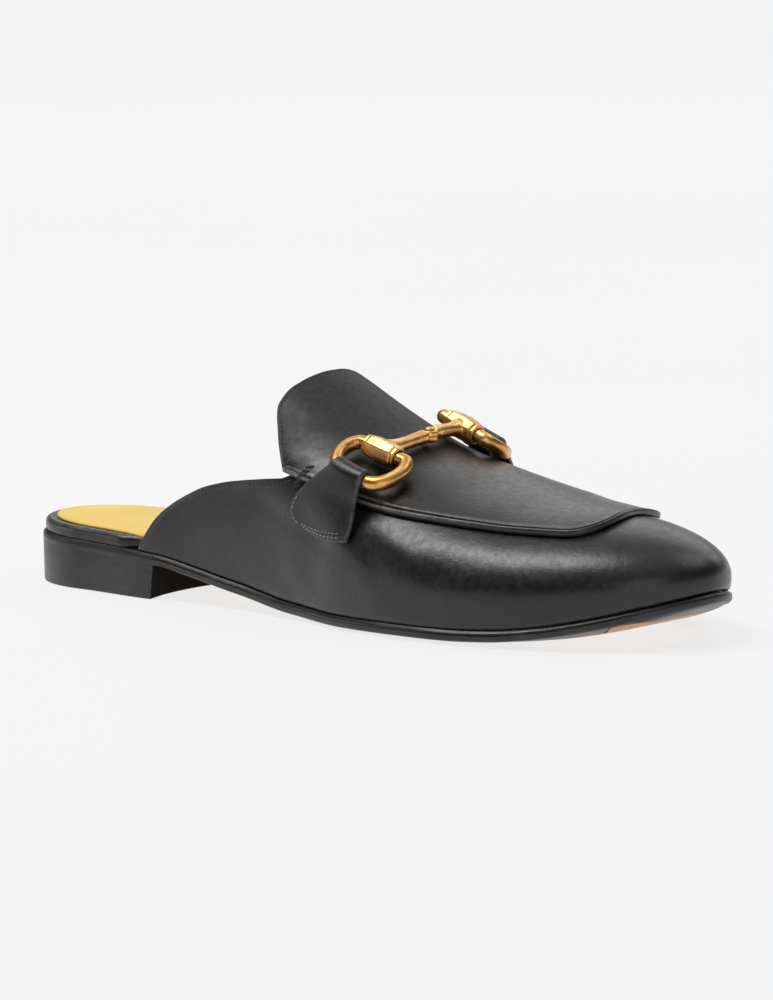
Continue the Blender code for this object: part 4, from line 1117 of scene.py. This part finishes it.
view = {"target": (0.0044, 0.0021, 0.035), "azimuth": 42.0, "elevation": 7.5, "roll": -1.25, "distance": 1.71,
        "lens": 190.0}
studio = {
    "paper": ("#646464", "#676767"), "paperSize": 30.0, "grainMm": 400,
    # the floor's glow rises with the distance from the shoe, from the first to the second
    "glow": (0.778, 0.855), "glowFrom": (1.6, 5.0),
    # and falls off beyond the left of the view, which keeps the outer wall of the shoe deep black
    "shade": 0.42, "shadeSlants": (0.085, 0.16),
    "horizon": 0.92, "middle": 0.09, "zenith": 0.6,  # brightness of the room, from the floor's line up
    "lowBand": (0.03, 0.18), "highBand": (0.55, 0.95),
    # name, place, point it faces, width, height, brightness
    "lamps": [("overhead", (-1.25, -0.8, 2.85), (-1.25, -0.8, 0.0), 2.4, 1.0, 7.8),
              ("behind", (-1.1, 2.45, 1.75), (0.0, 0.0, 0.0), 3.6, 2.0, 1.1),
              ("heelSide", (-2.88, -1.15, 0.51), (0.0, 0.0, 0.04), 1.6, 1.4, 1.0),
              ("front", (2.3, -2.0, 1.0), (0.0, 0.0, 0.04), 1.8, 1.6, 1.0),
              ("toeSide", (1.02, 1.47, 2.62), (0.0, 0.0, 0.04), 1.6, 1.2, 1.5)],
}
azimuth, elevation = math.radians(view["azimuth"]), math.radians(view["elevation"])
toLeft = (-math.cos(azimuth), -math.sin(azimuth), 0.0)
toBack = (-math.sin(azimuth), math.cos(azimuth), 0.0)

paper, tree, place = newFinish("paperFloor")  # matt studio paper, lit from below so that shadows stay faint
fleck = addNode(tree, "ShaderNodeTexNoise", {"Vector": place, "Scale": 1 / (studio["grainMm"] * mm)})
fleck = addNode(tree, "ShaderNodeMapRange", (fleck, 0.3, 0.7, 0.0, 1.0))
dark, light = (hexColour(tone) for tone in studio["paper"])
colour = addNode(tree, "ShaderNodeMix", {0: fleck, 6: dark, 7: light}, 2, data_type="RGBA")
far = addNode(tree, "ShaderNodeVectorMath", [place], out="Value", operation="LENGTH")
glow = addNode(tree, "ShaderNodeMapRange", (far, *studio["glowFrom"], *studio["glow"]))
leftward = addNode(tree, "ShaderNodeVectorMath", (place, toLeft), out="Value", operation="DOT_PRODUCT")
backward = addNode(tree, "ShaderNodeVectorMath", (place, toBack), out="Value", operation="DOT_PRODUCT")
depth = addNode(tree, "ShaderNodeMath", (backward, view["distance"]), operation="ADD")
slant = addNode(tree, "ShaderNodeMath", (leftward, depth), operation="DIVIDE")
shade = addNode(tree, "ShaderNodeMapRange", (slant, *studio["shadeSlants"], 0.0, studio["shade"]))
glow = addNode(tree, "ShaderNodeMath", (glow, shade), operation="SUBTRACT")
feed(tree, tree.nodes["Principled BSDF"], {"Base Color": colour, "Emission Strength": glow, "Roughness": 0.9,
                                           "Emission Color": (1, 1, 1, 1), "Specular IOR Level": 0.1})
size = studio["paperSize"]
floorMesh = bpy.data.meshes.new("floor")
floorMesh.from_pydata([(-size, -size, 0), (size, -size, 0), (size, size, 0), (-size, size, 0)], [], [[0, 1, 2, 3]])
floorMesh.materials.append(paper)
floor = addObject("floor", floorMesh)

world = bpy.data.worlds.new("studio")
bpy.context.scene.world = world
world.use_nodes = True
tree = world.node_tree
direction = addNode(tree, "ShaderNodeTexCoord", out="Generated")
upward = addNode(tree, "ShaderNodeSeparateXYZ", [direction], out="Z")
low = addNode(tree, "ShaderNodeMapRange", (upward, *studio["lowBand"], studio["horizon"], studio["middle"]))
high = addNode(tree, "ShaderNodeMapRange", (upward, *studio["highBand"], 0.0, studio["zenith"] - studio["middle"]))
strength = addNode(tree, "ShaderNodeMath", (low, high), operation="ADD")
feed(tree, tree.nodes["Background"], {"Strength": strength, "Color": (1, 1, 1, 1)})


def aim(obj, place, target, roll=0.0):
    back = unit(np.array(place, float) - np.array(target, float))
    right = unit(np.cross([0.0, 0.0, 1.0], back)) if abs(back[2]) < 0.999 else np.array([1.0, 0.0, 0.0])
    up = np.cross(back, right)
    matrix = np.eye(4)
    matrix[:3, 0] = math.cos(roll) * right + math.sin(roll) * up
    matrix[:3, 1] = math.cos(roll) * up - math.sin(roll) * right
    matrix[:3, 2], matrix[:3, 3] = back, place
    obj.matrix_world = Matrix(matrix.tolist())


for name, place, point, width, height, brightness in studio["lamps"]:
    data = bpy.data.lights.new(name, "AREA")
    data.shape, data.size, data.size_y = "RECTANGLE", width, height
    data.energy = brightness * math.pi * width * height
    lamp = addObject(name, data)
    lamp.visible_camera = False
    aim(lamp, place, point)

back = np.array([math.sin(azimuth) * math.cos(elevation), -math.cos(azimuth) * math.cos(elevation),
                 math.sin(elevation)])
cameraData = bpy.data.cameras.new("camera")
cameraData.lens, cameraData.sensor_width, cameraData.clip_end = view["lens"], 36.0, 200.0
camera = addObject("camera", cameraData)
aim(camera, np.array(view["target"]) + back * view["distance"], view["target"], math.radians(view["roll"]))
bpy.context.scene.camera = camera
bpy.context.scene.view_settings.view_transform = "Standard"
print("studio ready")
